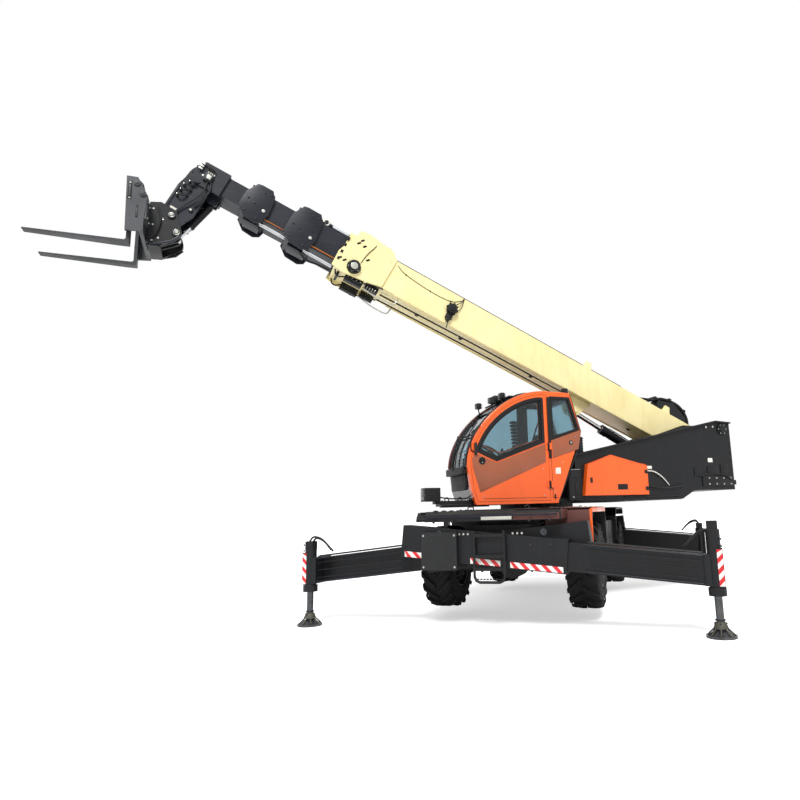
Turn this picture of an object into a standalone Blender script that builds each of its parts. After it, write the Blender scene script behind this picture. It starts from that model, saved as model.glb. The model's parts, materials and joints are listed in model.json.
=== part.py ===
"""Rotating telehandler on four outriggers: chassis, slewing turret with cab, four-part boom and forks."""

import math

import bmesh
import bpy
from mathutils import Matrix, Vector

# Clearances, in metres.
seat_gap = 0.0003
slide_gap = 0.0005

# Stance.
chassis_turn = 129.9
wheel_lift = 0.124
boom_angle = 24.2

# Chassis: x runs to its front, y to its left.
wheel_base = 3.19
track = 2.07
tyre_diameter = 1.17
tyre_width = 0.45
rim_diameter = 0.58
frame_width = 0.84
frame_bottom = 0.90
frame_top = 1.30
deck_top = 1.50
body_width = 2.50
kingpin_inset = 0.175

# Outriggers.
housing_height = 0.42
housing_width = 0.22
housing_wall = 0.02
housing_droop = 5.8
housing_level = 1.00
outer_centre = 2.68
inner_centre = 2.465
housing_closed_end = 1.24
housing_mouth = 0.98
beam_height = 0.345
beam_width = 0.17
beam_root = 0.26
jack_out = 2.68
jack_along = 2.72
jack_radius = 0.08
jack_rod_radius = 0.045
jack_foot_radius = 0.17
jack_stroke = 0.36

# Turret: x runs to the boom's head, y to the cab.
turret_floor = 1.595
plate = 0.06
tail_rear = 3.33
tail_floor = 1.74
tail_top = 2.935
tail_top_front = 2.99
panel_front = 0.11
panel_front_top = 2.335
step_front = 2.17
step_rear = 2.44
panel_out = 1.16
cheek_gap = 0.72
cheek = 0.05
slew_radius = 0.62

# Cab, in the turret's frame.
cab_inner = 0.42
cab_outer = 1.25
cab_wall = 0.05
cab_floor = 1.58
cab_roof = 3.29
cab_nose = 1.725
cab_nose_level = 2.15
cab_toe = 1.61
cab_crown = 0.45
cab_back_top = -0.03
cab_back_level = 2.68
cab_back = -0.20
cab_heel = 0.265
cab_curve = 1.78
door_rear = 0.40
hinge_radius = 0.014
hinge_levels = (1.86, 2.44)
glass = 0.008

# Boom: x runs along it from its pivot, z is square to it.
pivot_x = -3.15
pivot_z = 2.80
boom_centre = -0.075
boom_wall = 0.014
lift_eye = (2.32, -0.56)
lift_foot = (-2.85, 2.13)
lift_radius = 0.08
lift_rod_radius = 0.045
ear_inner = 0.075
ear_outer = 0.125
fork_pivot = (9.45, -0.92)
tilt_eye = (9.27, -1.12)
tilt_head = (9.12, -0.34)
tilt_radius = 0.05
tilt_rod_radius = 0.025
lug_inner = 0.041
lug_outer = 0.080

# Forks, in the turret's frame.
tine_level = 5.27
tine_length = 1.20
heel_x = 6.356
fork_spacing = 0.81
carriage_rear = 6.13
carriage_front = 6.40
carriage_half = 0.55
carriage_bottom = 5.40
carriage_top = 6.20

axle_level = tyre_diameter / 2 + wheel_lift
hub_out = track / 2
kingpin_out = hub_out - kingpin_inset
droop = math.radians(housing_droop)
luff = math.radians(boom_angle)

# name, outer width, outer height, root, collar start, collar end
sections = [
    ("boom_base", 0.60, 0.545, -0.22, 6.42, 7.15),
    ("boom_section_2", 0.52, 0.47, 0.50, 7.60, 7.99),
    ("boom_section_3", 0.45, 0.40, 0.95, 8.38, 8.73),
    ("boom_section_4", 0.38, 0.33, 1.35, 9.07, 9.45),
]

# name, end of the chassis (+1 front), side (+1 left), housing centre, level of the jack's cap
corners = [
    ("front_left", 1, 1, outer_centre, 1.30),
    ("front_right", 1, -1, inner_centre, 1.14),
    ("rear_left", -1, 1, inner_centre, 1.14),
    ("rear_right", -1, -1, outer_centre, 1.30),
]

colours = {
    "cream": (0.88, 0.76, 0.40, 0.0, 0.40),
    "orange": (0.93, 0.22, 0.02, 0.0, 0.35),
    "black": (0.018, 0.020, 0.025, 0.0, 0.45),
    "navy": (0.020, 0.024, 0.035, 0.0, 0.42),
    "grey": (0.12, 0.12, 0.12, 0.6, 0.50),
    "fork": (0.10, 0.10, 0.105, 0.7, 0.45),
    "rubber": (0.02, 0.02, 0.02, 0.0, 0.85),
    "chrome": (0.75, 0.75, 0.76, 1.0, 0.15),
    "glass": (0.20, 0.32, 0.36, 0.0, 0.08),
    "foot": (0.22, 0.22, 0.20, 0.8, 0.55),
    "iron": (0.16, 0.16, 0.17, 0.7, 0.60),
    "fabric": (0.03, 0.03, 0.03, 0.0, 0.95),
    "plastic": (0.03, 0.03, 0.03, 0.0, 0.60),
}


# ---------------------------------------------------------------- helpers


def clear_scene():
    for obj in list(bpy.data.objects):
        bpy.data.objects.remove(obj, do_unlink=True)


def new_collection(name):
    made = bpy.data.collections.new(name)
    bpy.context.scene.collection.children.link(made)
    return made


def paint(name):
    if name in bpy.data.materials:
        return bpy.data.materials[name]
    red, green, blue, metallic, roughness = colours[name]
    made = bpy.data.materials.new(name)
    made.use_nodes = True
    shader = made.node_tree.nodes["Principled BSDF"]
    shader.inputs["Base Color"].default_value = (red, green, blue, 1)
    shader.inputs["Metallic"].default_value = metallic
    shader.inputs["Roughness"].default_value = roughness
    return made


def to_mesh(bm):
    mesh = bpy.data.meshes.new("shape")
    bmesh.ops.recalc_face_normals(bm, faces=bm.faces)
    bm.to_mesh(mesh)
    bm.free()
    return mesh


def box(x, y, z):
    """A block between the given pairs of x, y and z."""
    bm = bmesh.new()
    bmesh.ops.create_cube(bm, size=1)
    size = Vector((x[1] - x[0], y[1] - y[0], z[1] - z[0]))
    middle = Vector((x[0] + x[1], y[0] + y[1], z[0] + z[1])) / 2
    bm.transform(Matrix.Translation(middle) @ Matrix.Diagonal((*size, 1)))
    return to_mesh(bm)


def rod(start, end, radius, sides=20, end_radius=None):
    """A round bar, or a cone, from start to end."""
    start = Vector(start)
    along = Vector(end) - start
    bm = bmesh.new()
    top = radius if end_radius is None else end_radius
    bmesh.ops.create_cone(
        bm, cap_ends=True, segments=sides, radius1=radius, radius2=top, depth=along.length
    )
    turn = Vector((0, 0, 1)).rotation_difference(along).to_matrix().to_4x4()
    bm.transform(Matrix.Translation(start + along / 2) @ turn)
    return to_mesh(bm)


def curve_mesh(curve):
    """The mesh of a curve with its caps welded."""
    carrier = bpy.data.objects.new("carrier", curve)
    guides.objects.link(carrier)
    bpy.context.view_layer.update()
    graph = bpy.context.evaluated_depsgraph_get()
    mesh = bpy.data.meshes.new_from_object(carrier.evaluated_get(graph))
    bpy.data.objects.remove(carrier, do_unlink=True)
    bm = bmesh.new()
    bm.from_mesh(mesh)
    bmesh.ops.remove_doubles(bm, verts=bm.verts, dist=0.0001)
    return to_mesh(bm)


def slab(outline, y):
    """A flat outline of (x, z) points, filled from y[0] to y[1]."""
    curve = bpy.data.curves.new("outline", "CURVE")
    curve.dimensions = "2D"
    curve.fill_mode = "BOTH"
    curve.extrude = (y[1] - y[0]) / 2
    spline = curve.splines.new("POLY")
    spline.points.add(len(outline) - 1)
    for point, (px, pz) in zip(spline.points, outline):
        point.co = (px, pz, 0, 1)
    spline.use_cyclic_u = True
    mesh = curve_mesh(curve)
    upright = Matrix.Rotation(math.pi / 2, 4, "X")
    mesh.transform(Matrix.Translation((0, (y[0] + y[1]) / 2, 0)) @ upright)
    return mesh


def tube(points, radius, around=2):
    """A round tube through the points, with closed ends."""
    curve = bpy.data.curves.new("tube", "CURVE")
    curve.dimensions = "3D"
    curve.bevel_depth = radius
    curve.bevel_resolution = around
    curve.use_fill_caps = True
    spline = curve.splines.new("POLY")
    spline.points.add(len(points) - 1)
    for point, at in zip(spline.points, points):
        point.co = (*at, 1)
    return curve_mesh(curve)


def bore(start, end, pin_radius, sides=20):
    """A cutter for a hole that a many-sided pin of the given radius turns in."""
    return rod(start, end, pin_radius / math.cos(math.pi / sides) + slide_gap, sides)


def combine(operation, base, others):
    """The exact union or difference of a mesh with each of the others."""
    worker = bpy.data.objects.new("worker", base)
    guides.objects.link(worker)
    helpers = []
    for other in others:
        helper = bpy.data.objects.new("helper", other)
        helper.display_type = "WIRE"
        helper.hide_render = True
        guides.objects.link(helper)
        helpers.append(helper)
        step = worker.modifiers.new("step", "BOOLEAN")
        step.operation = operation
        step.solver = "EXACT"
        step.object = helper
    bpy.context.view_layer.update()
    graph = bpy.context.evaluated_depsgraph_get()
    mesh = bpy.data.meshes.new_from_object(worker.evaluated_get(graph))
    for used in [worker, *helpers]:
        bpy.data.objects.remove(used, do_unlink=True)
    return mesh


def fuse(base, *others):
    return combine("UNION", base, others)


def cut(base, *others):
    return combine("DIFFERENCE", base, others)


def moved(mesh, at=(0, 0, 0), turn=None):
    """The mesh, turned about its origin by a matrix and then shifted."""
    matrix = Matrix.Translation(at)
    if turn is not None:
        matrix = matrix @ turn.to_4x4()
    mesh.transform(matrix)
    return mesh


def mirrored(mesh, axis):
    """A mirror copy of the mesh across the plane square to the axis."""
    copy = mesh.copy()
    scale = [1, 1, 1]
    scale[axis] = -1
    copy.transform(Matrix.Diagonal((*scale, 1)))
    copy.flip_normals()
    return copy


def empty(name, parent, at, turn=(0, 0, 0)):
    made = bpy.data.objects.new(name, None)
    guides.objects.link(made)
    made.parent = parent
    made.location = at
    made.rotation_euler = turn
    return made


def piece(name, mesh, colour, parent, at=(0, 0, 0), turn=(0, 0, 0), smooth=False):
    """A named part whose mesh is given in its own frame."""
    mesh.name = name
    mesh.materials.clear()
    mesh.materials.append(paint(colour))
    if smooth:
        mesh.shade_smooth()
        mesh.set_sharp_from_angle(angle=math.radians(35))
    made = bpy.data.objects.new(name, mesh)
    parts.objects.link(made)
    made.parent = parent
    made.location = at
    made.rotation_euler = turn
    return made


def inset(outline, depth):
    """The outline of (x, z) points drawn in by depth; it runs anticlockwise."""
    count = len(outline)
    drawn = []
    for index in range(count):
        before = Vector(outline[index - 1])
        here = Vector(outline[index])
        after = Vector(outline[(index + 1) % count])
        into = (here - before).normalized()
        out = (after - here).normalized()
        first = Vector((-into.y, into.x))
        second = Vector((-out.y, out.x))
        middle = (first + second).normalized()
        reach = depth / max(0.4, middle.dot(first))
        drawn.append(tuple(here + middle * reach))
    return drawn


def clipped(outline, least):
    """The part of a closed outline whose x is at least the given value."""
    kept = []
    for index, here in enumerate(outline):
        before = outline[index - 1]
        if (before[0] >= least) != (here[0] >= least):
            share = (least - before[0]) / (here[0] - before[0])
            kept.append((least, before[1] + share * (here[1] - before[1])))
        if here[0] >= least:
            kept.append(here)
    return kept


# ---------------------------------------------------------------- chassis


def make_frame(chassis):
    half = wheel_base / 2
    end = inner_centre - housing_width / 2 - 0.005 - seat_gap
    side = frame_width / 2
    body = box((-end, end), (-side, side), (frame_bottom, frame_top))
    pedestal = rod((0, 0, frame_top - 0.01), (0, 0, 1.46), slew_radius - 0.04, 32)
    hangers = []
    for x in (-half, half):
        hangers.append(box((x - 0.10, x + 0.10), (-0.36, 0.36), (frame_bottom - 0.01, frame_bottom + 0.1)))
    piece("chassis_frame", fuse(body, pedestal, *hangers), "black", chassis)
    ring = rod((0, 0, 1.46 + seat_gap), (0, 0, turret_floor - seat_gap), slew_radius, 32)
    piece("slew_ring", ring, "grey", chassis, smooth=True)


def make_axle(chassis, name, end):
    x = end * wheel_base / 2
    reach = kingpin_out
    shaft = box((-0.08, 0.08), (-reach, reach), (-0.07, 0.07))
    case = rod((-0.22, 0, 0), (0.22, 0, 0), 0.17, 20)
    nose = rod((0, 0, 0), (-0.34 * end, 0, 0), 0.09, 16)
    shapes = [case, nose]
    top = frame_bottom - 0.01 - seat_gap - axle_level
    for side in (-1, 1):
        shapes.append(rod((0, side * reach, -0.105), (0, side * reach, 0.105), 0.06, 16))
        shapes.append(box((-0.09, 0.09), (side * 0.28 - 0.06, side * 0.28 + 0.06), (0, top)))
    piece(name, fuse(shaft, *shapes), "iron", chassis, at=(x, 0, axle_level))


def make_knuckle(chassis, corner, end, side):
    """The steered hub carrier; its origin is on the kingpin."""
    pin = empty("steer_" + corner, chassis, (end * wheel_base / 2, side * kingpin_out, axle_level))
    y_in, y_out = 0.075, 0.115
    hub_end = kingpin_inset + 0.01 - seat_gap
    back = box((-0.07, 0.07), (y_in, y_out), (-0.145, 0.145))
    arms = []
    for z in (-1, 1):
        low, high = sorted((z * (0.105 + seat_gap), z * 0.145))
        arms.append(box((-0.065, 0.065), (-0.06, y_out - 0.005), (low, high)))
    hub = rod((0, y_in + 0.01, 0), (0, hub_end, 0), 0.12, 20)
    mesh = fuse(back, *arms, hub)
    if side < 0:
        mesh = mirrored(mesh, 1)
    piece("knuckle_" + corner, mesh, "iron", pin)
    return pin


def wheel_profile():
    """(radius, y) points of the tyre and rim section, from the hub's bore round the tyre."""
    out = tyre_diameter / 2
    half = tyre_width / 2
    bead = rim_diameter / 2
    disc_in, disc_out = 0.01, 0.035
    return [
        (0.05, disc_out),
        (bead - 0.03, disc_out),
        (bead - 0.03, half - 0.03),
        (bead + 0.02, half - 0.02),
        (bead + 0.12, half),
        (out - 0.09, half),
        (out, half - 0.05),
        (out, -half + 0.05),
        (out - 0.09, -half),
        (bead + 0.12, -half),
        (bead + 0.02, -half + 0.02),
        (bead - 0.03, -half + 0.03),
        (bead - 0.03, disc_in),
        (0.05, disc_in),
    ]


def turned(profile, steps=28):
    """A ring turned about y from a closed profile of (radius, y) points."""
    bm = bmesh.new()
    corners_made = [bm.verts.new((radius, y, 0)) for radius, y in profile]
    for index, corner in enumerate(corners_made):
        bm.edges.new((corners_made[index - 1], corner))
    mesh = bpy.data.meshes.new("profile")
    bm.to_mesh(mesh)
    bm.free()
    carrier = bpy.data.objects.new("carrier", mesh)
    guides.objects.link(carrier)
    screw = carrier.modifiers.new("turn", "SCREW")
    screw.axis = "Y"
    screw.steps = steps
    screw.render_steps = steps
    screw.use_merge_vertices = True
    screw.merge_threshold = 0.0001
    bpy.context.view_layer.update()
    graph = bpy.context.evaluated_depsgraph_get()
    made = bpy.data.meshes.new_from_object(carrier.evaluated_get(graph))
    bpy.data.objects.remove(carrier, do_unlink=True)
    bm = bmesh.new()
    bm.from_mesh(made)
    bmesh.ops.remove_doubles(bm, verts=bm.verts, dist=0.0001)
    return to_mesh(bm)


def make_wheel(pin, corner, side):
    """Tyre on its dished rim; its origin is on the axle's line."""
    mesh = turned(wheel_profile())
    if side < 0:
        mesh = mirrored(mesh, 1)
    piece("wheel_" + corner, mesh, "rubber", pin, at=(0, side * kingpin_inset, 0), smooth=True)


def beam_turn(side):
    """Turns +x into the way a beam slides out on the given side."""
    out = Vector((0, side * math.cos(droop), -math.sin(droop)))
    up = Vector((0, side * math.sin(droop), math.cos(droop)))
    across = up.cross(out)
    return Matrix((out, across, up)).transposed()


def make_housings(chassis, name, end):
    """Two crossed box housings side by side, each open where its beam comes out."""
    outer = []
    hollows = []
    for corner, corner_end, side, centre, cap in corners:
        if corner_end != end:
            continue
        turn = beam_turn(side)
        at = (end * centre, 0, housing_level)
        length = (-housing_closed_end / math.cos(droop), housing_mouth / math.cos(droop))
        wide = housing_width / 2
        spread = wide + (0.005 if centre == inner_centre else 0)
        outer.append(moved(box(length, (-spread, spread), (-housing_height / 2, housing_height / 2)), at,
                turn))
        free = beam_width / 2 + 0.005
        tall = beam_height / 2 + 0.005
        root = length[0] + housing_wall
        hollows.append(moved(box((root, length[1] - 0.12), (-free, free), (-tall, tall)), at, turn))
        snug = beam_width / 2 + slide_gap
        close = beam_height / 2 + slide_gap
        hollows.append(moved(box((length[1] - 0.15, length[1] + 0.05), (-snug, snug), (-close, close)),
                at, turn))
    pair = fuse(*outer)
    piece(name, cut(pair, *hollows), "black", chassis)


def jack_parts(corner, end, side, centre, cap):
    """The beam with its jack column, in the frame of the chassis."""
    turn = beam_turn(side)
    at = (end * centre, 0, housing_level)
    plate_in, plate_out = jack_out - 0.12, jack_out - 0.05
    half_h, half_w = beam_height / 2, beam_width / 2
    long_out = plate_out / math.cos(droop)
    bar = moved(box((beam_root / math.cos(droop), long_out), (-half_w, half_w), (-half_h, half_h)), at,
            turn)
    level = housing_level - jack_out * math.tan(droop)
    near = end * (centre - half_w)
    far = end * (jack_along + 0.07)
    x = (min(near, far), max(near, far))
    y = tuple(sorted((side * plate_in, side * plate_out)))
    web = box(x, y, (level - half_h + 0.01, level + half_h + 0.02))
    foot_level = level - half_h - 0.03
    jx, jy = end * jack_along, side * jack_out
    column = rod((jx, jy, foot_level), (jx, jy, cap - 0.10), jack_radius, 20)
    collar = rod((jx, jy, foot_level - 0.07), (jx, jy, foot_level + 0.02), jack_radius + 0.02, 20)
    head = box((jx - 0.06, jx + 0.06), (jy - 0.06, jy + 0.06), (cap - 0.12, cap))
    board_y = tuple(sorted((jy + side * (jack_radius - 0.02), jy + side * (jack_radius + 0.012))))
    board = box((jx - 0.075, jx + 0.075), board_y, (foot_level + 0.03, foot_level + 0.46))
    mesh = fuse(bar, web, column, collar, head, board)
    inside = rod((jx, jy, foot_level - 0.2), (jx, jy, cap - 0.14), jack_rod_radius + slide_gap, 20)
    return cut(mesh, inside), foot_level - 0.07


def make_outrigger(chassis, corner, end, side, centre, cap):
    slide = empty("beam_slide_" + corner, chassis, (0, 0, 0))
    mesh, mouth = jack_parts(corner, end, side, centre, cap)
    piece("outrigger_beam_" + corner, mesh, "black", slide)
    jack = empty("jack_slide_" + corner, slide, (end * jack_along, side * jack_out, 0))
    top = min(mouth + 0.17, cap - 0.14 - jack_stroke - 0.01)
    leg = rod((0, 0, 0.05), (0, 0, max(top, mouth + 0.10)), jack_rod_radius, 20)
    dish = rod((0, 0, 0), (0, 0, 0.03), jack_foot_radius, 28)
    cone = rod((0, 0, 0.025), (0, 0, 0.085), jack_foot_radius - 0.02, 28, 0.06)
    piece("jack_" + corner, fuse(dish, cone, leg), "chrome", jack, smooth=True)


def make_bodywork(chassis, name, end):
    """The deck over the housings with a fender over each wheel."""
    wheel = wheel_base / 2
    skin = 0.03
    front = 2.78
    deck = slab(
        [
            (1.95, deck_top - 0.14),
            (front - 0.02, deck_top - 0.14),
            (front - 0.02, deck_top - 0.05),
            (front - 0.10, deck_top),
            (1.95, deck_top),
        ],
        (-0.92, 0.92),
    )
    tongue = box((0.70, 2.0), (-frame_width / 2, frame_width / 2), (frame_top + seat_gap, deck_top - 0.10))
    shapes = [tongue]
    nose, tail = wheel + 0.70, wheel - 0.79
    crest = deck_top - 0.01
    line = [
        (nose, crest - 0.10),
        (nose - 0.08, crest),
        (tail + 0.12, crest),
        (tail, crest - 0.14),
        (tail, 0.93),
    ]
    under = [
        (nose - 0.01, crest - 0.10 - skin),
        (nose - 0.09, crest - skin),
        (tail + 0.12, crest - skin),
        (tail + skin, crest - 0.14),
        (tail + skin, 0.93),
    ]
    for side in (-1, 1):
        y = tuple(sorted((side * 0.50, side * body_width / 2)))
        shapes.append(slab(line + under[::-1], y))
        bridge = tuple(sorted((side * 0.30, side * 0.60)))
        shapes.append(box((wheel - 0.5, wheel + 0.45), bridge, (crest - 0.028, crest - 0.002)))
    mesh = fuse(deck, *shapes)
    if end < 0:
        mesh = mirrored(mesh, 0)
    piece(name, mesh, "navy", chassis)


def make_side_tank(chassis, name, side):
    wheel = wheel_base / 2
    reach = wheel - 0.79 - 0.02
    y = tuple(sorted((side * (frame_width / 2 + seat_gap), side * 1.18)))
    tank = box((-reach, reach), y, (0.88, frame_top - 0.02))
    piece(name, tank, "black", chassis)


def make_ladder(chassis):
    """Hung steps in front of the outer housing."""
    x = 2.79 + 0.05
    bar = 0.018
    y_left, y_right = 0.19, -0.21
    top, low = 1.24, 0.60
    bend = 0.07
    loop = [
        (x, y_left, top),
        (x, y_left, low + bend),
        (x, y_left - bend * 0.3, low + bend * 0.3),
        (x, y_left - bend, low),
        (x, y_right + bend, low),
        (x, y_right + bend * 0.3, low + bend * 0.3),
        (x, y_right, low + bend),
        (x, y_right, top),
    ]
    rungs = []
    for level in (top - 0.06, 0.92, 0.76):
        rungs.append(box((x - 0.012, x + 0.012), (y_right, y_left), (level - 0.02, level + 0.02)))
    hooks = []
    for y in (y_left, y_right):
        centre = housing_level - y * math.tan(droop)
        hooks.append(box((2.79 + seat_gap, x), (y - 0.02, y + 0.02), (centre - 0.06, centre + 0.08)))
    piece("front_ladder", fuse(tube(loop, bar), *rungs, *hooks), "black", chassis)


def make_pad(chassis):
    """A ground mat for a jack foot, carried on the housing's front."""
    back = 2.79 + seat_gap
    mat = box((back + 0.02, back + 0.075), (-0.93, -0.44), (0.75, 1.23))
    stand = box((back, back + 0.03), (-0.80, -0.57), (0.92, 1.10))
    piece("jack_mat", fuse(mat, stand), "rubber", chassis)


# ---------------------------------------------------------------- turret


def make_turret_frame(turret):
    """Floor plate with a raised tail, and two cheeks that carry the boom."""
    wide = panel_out - 0.04 - seat_gap
    low = turret_floor
    front = 1.45
    floor_line = [
        (-tail_rear + 0.02, tail_floor),
        (-step_rear, tail_floor),
        (-step_front, low),
        (front, low),
        (front, low + plate),
        (-step_front, low + plate),
        (-step_rear, tail_floor + plate),
        (-tail_rear + 0.02, tail_floor + plate),
    ]
    floor = slab(floor_line, (-wide, wide))
    cheek_line = [
        (-3.27, tail_floor + 0.03),
        (-step_rear, tail_floor + 0.03),
        (-step_front, low + 0.03),
        (1.10, low + 0.03),
        (1.10, 1.86),
        (-0.40, 2.20),
        (-2.95, pivot_z + 0.17),
        (-3.27, pivot_z + 0.17),
    ]
    shapes = []
    for side in (-1, 1):
        y = tuple(sorted((side * cheek_gap / 2, side * (cheek_gap / 2 + cheek))))
        shapes.append(slab(cheek_line, y))
    inner = cheek_gap / 2 + 0.02
    for x, z, radius in ((lift_foot[0], lift_foot[1], 0.045), (1.0, 1.76, 0.05)):
        shapes.append(rod((x, -inner, z), (x, inner, z), radius, 16))
    shapes.append(rod((pivot_x, -inner, pivot_z), (pivot_x, inner, pivot_z), 0.055, 20))
    mesh = fuse(floor, *shapes)
    piece("turret_frame", mesh, "black", turret)


def make_side_panel(turret):
    """The long plate behind the cab, with a flange along its sloped top."""
    line = [
        (-panel_front, turret_floor + 0.005),
        (-step_front, turret_floor + 0.005),
        (-step_rear, tail_floor),
        (-tail_rear, tail_floor),
        (-tail_rear, tail_top - 0.01),
        (-tail_top_front, tail_top + 0.01),
        (-panel_front, panel_front_top),
    ]
    line = line[::-1]
    sheet = slab(line, (panel_out - 0.04, panel_out))
    slope = (tail_top + 0.01 - panel_front_top) / (tail_top_front - panel_front)
    flange_line = [
        (-panel_front, panel_front_top - 0.025),
        (-panel_front, panel_front_top),
        (-tail_top_front, tail_top + 0.01),
        (-tail_rear, tail_top - 0.01),
        (-tail_rear, tail_top - 0.035),
        (-tail_top_front, tail_top + 0.01 - 0.025 * math.hypot(1, slope)),
    ]
    flange = slab(flange_line, (panel_out - 0.02, panel_out + 0.05))
    piece("side_panel", fuse(sheet, flange), "black", turret)


def make_counterweight(turret):
    floor = tail_floor + plate + seat_gap
    wide = panel_out - 0.04 - seat_gap
    rear, front = -tail_rear, -3.27 - seat_gap
    body = box((rear, front), (-wide, wide), (floor, 2.34))
    arms = []
    inner = cheek_gap / 2 + cheek + seat_gap
    for side in (-1, 1):
        y = tuple(sorted((side * inner, side * wide)))
        arms.append(box((front - 0.01, -2.55), y, (floor, 2.34)))
    lug = box((rear - 0.14, rear + 0.03), (panel_out - 0.35, panel_out - 0.10), (1.83, 1.91))
    piece("counterweight", fuse(body, *arms, lug), "black", turret)


engine_x = (-2.50, 1.00)
engine_y = (-1.20, -(cheek_gap / 2 + cheek + seat_gap))
engine_z = (turret_floor + plate + seat_gap, 2.26)


def make_engine(turret):
    """Open-topped housing beside the right cheek, with a plain engine inside and a hinged lid."""
    x, y, z = engine_x, engine_y, engine_z
    wall = 0.02
    outer = box(x, (-(panel_out - 0.02), y[1]), z)
    hollow = box((x[0] + wall, x[1] - wall), (-(panel_out - 0.02) + wall, y[1] - wall), (z[0] + wall,
            z[1] + 0.2))
    step = slab(
        [(-3.0, tail_floor + plate + 0.01), (-step_rear + 0.01, tail_floor + plate + 0.01),
                (-step_front + 0.02, z[0]),
         (-step_front + 0.02, 1.0), (-3.0, 1.0)],
        (-2, 0),
    )
    inner_step = slab(
        [(-3.0, tail_floor + plate + 0.01 + wall), (-step_rear + 0.01, tail_floor + plate + 0.01 + wall),
         (-step_front + 0.03, z[0] + wall), (-step_front + 0.03, 1.0), (-3.0, 1.0)],
        (-2, 0),
    )
    hollow = cut(hollow, inner_step)
    piece("engine_housing", cut(outer, step, hollow), "orange", turret)
    block = box((-1.9, -0.75), (-1.05, -0.52), (z[0] + wall + seat_gap, z[1] - 0.10))
    piece("engine_block", block, "iron", turret)
    hinge = empty("engine_lid_hinge", turret, (0, y[1] - 0.020, z[1] + 0.012))
    lid = box((x[0], x[1]), (-(panel_out - 0.02) - y[1] + 0.020, 0), (-0.012 + seat_gap, 0.012))
    piece("engine_lid", lid, "orange", hinge)


def make_side_cover(turret):
    """The service cover proud of the side panel, hinged at its rear edge."""
    front, peak, rear = -0.29, -0.73, -1.42
    low, top_front, top_peak, top_rear = 1.68, 2.17, 2.32, 2.15
    hinge_y = panel_out + seat_gap
    hinge = empty("side_cover_hinge", turret, (rear, hinge_y, 0))
    line = [
        (0, low),
        (front - rear + 0.08, low),
        (front - rear, top_front),
        (peak - rear, top_peak),
        (0, top_rear),
    ]
    body = slab(line, (0, cab_outer - hinge_y))
    drawn = inset(line, 0.02)
    hollow = slab(drawn, (-0.05, cab_outer - hinge_y - 0.02))
    piece("side_cover", cut(body, hollow), "orange", hinge)


def make_battery_box(turret):
    y = (panel_out + seat_gap, cab_outer - 0.03)
    body = box((-0.185, 0.05), y, (turret_floor + 0.02, 1.95))
    piece("battery_box", body, "black", turret)


def make_lamp_bracket(turret):
    """Arm ahead of the turret's floor with a work lamp on its end."""
    root = box((1.45 + seat_gap, 1.60), (0.70, 1.12), (turret_floor, turret_floor + 0.05))
    arm = box((1.47, 2.20), (1.02, 1.12), (turret_floor + 0.01, turret_floor + 0.055))
    lamp = box((2.13, 2.36), (0.98, 1.18), (turret_floor + 0.05, turret_floor + 0.24))
    piece("front_lamp", fuse(arm, root, lamp), "black", turret)


# ---------------------------------------------------------------- cab


def cab_outline():
    """The cab's side, anticlockwise in (x, z) from its heel."""
    curve = []
    steps = 12
    for index in range(steps + 1):
        angle = math.pi / 2 * index / steps
        power = 2 / cab_curve
        x = cab_crown + (cab_nose - cab_crown) * math.cos(angle) ** power
        z = cab_nose_level + (cab_roof - cab_nose_level) * math.sin(angle) ** power
        curve.append((x, z))
    toe = [(cab_heel, cab_floor), (cab_toe, cab_floor), (cab_toe + 0.075, cab_floor + 0.22)]
    return toe + curve + [(cab_back_top, cab_roof - 0.012), (cab_back, cab_back_level)]


def door_outline(margin):
    return clipped(inset(cab_outline(), margin), door_rear + (margin - 0.045))


def door_window():
    edge = clipped(inset(cab_outline(), 0.10), door_rear + 0.07)
    sill_front, sill_low, sill_rear = (1.60, 2.38), (1.27, 2.235), (door_rear + 0.07, 2.50)
    top = [point for point in edge if point[1] > 2.40]
    return [sill_rear, sill_low, sill_front] + top


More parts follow.
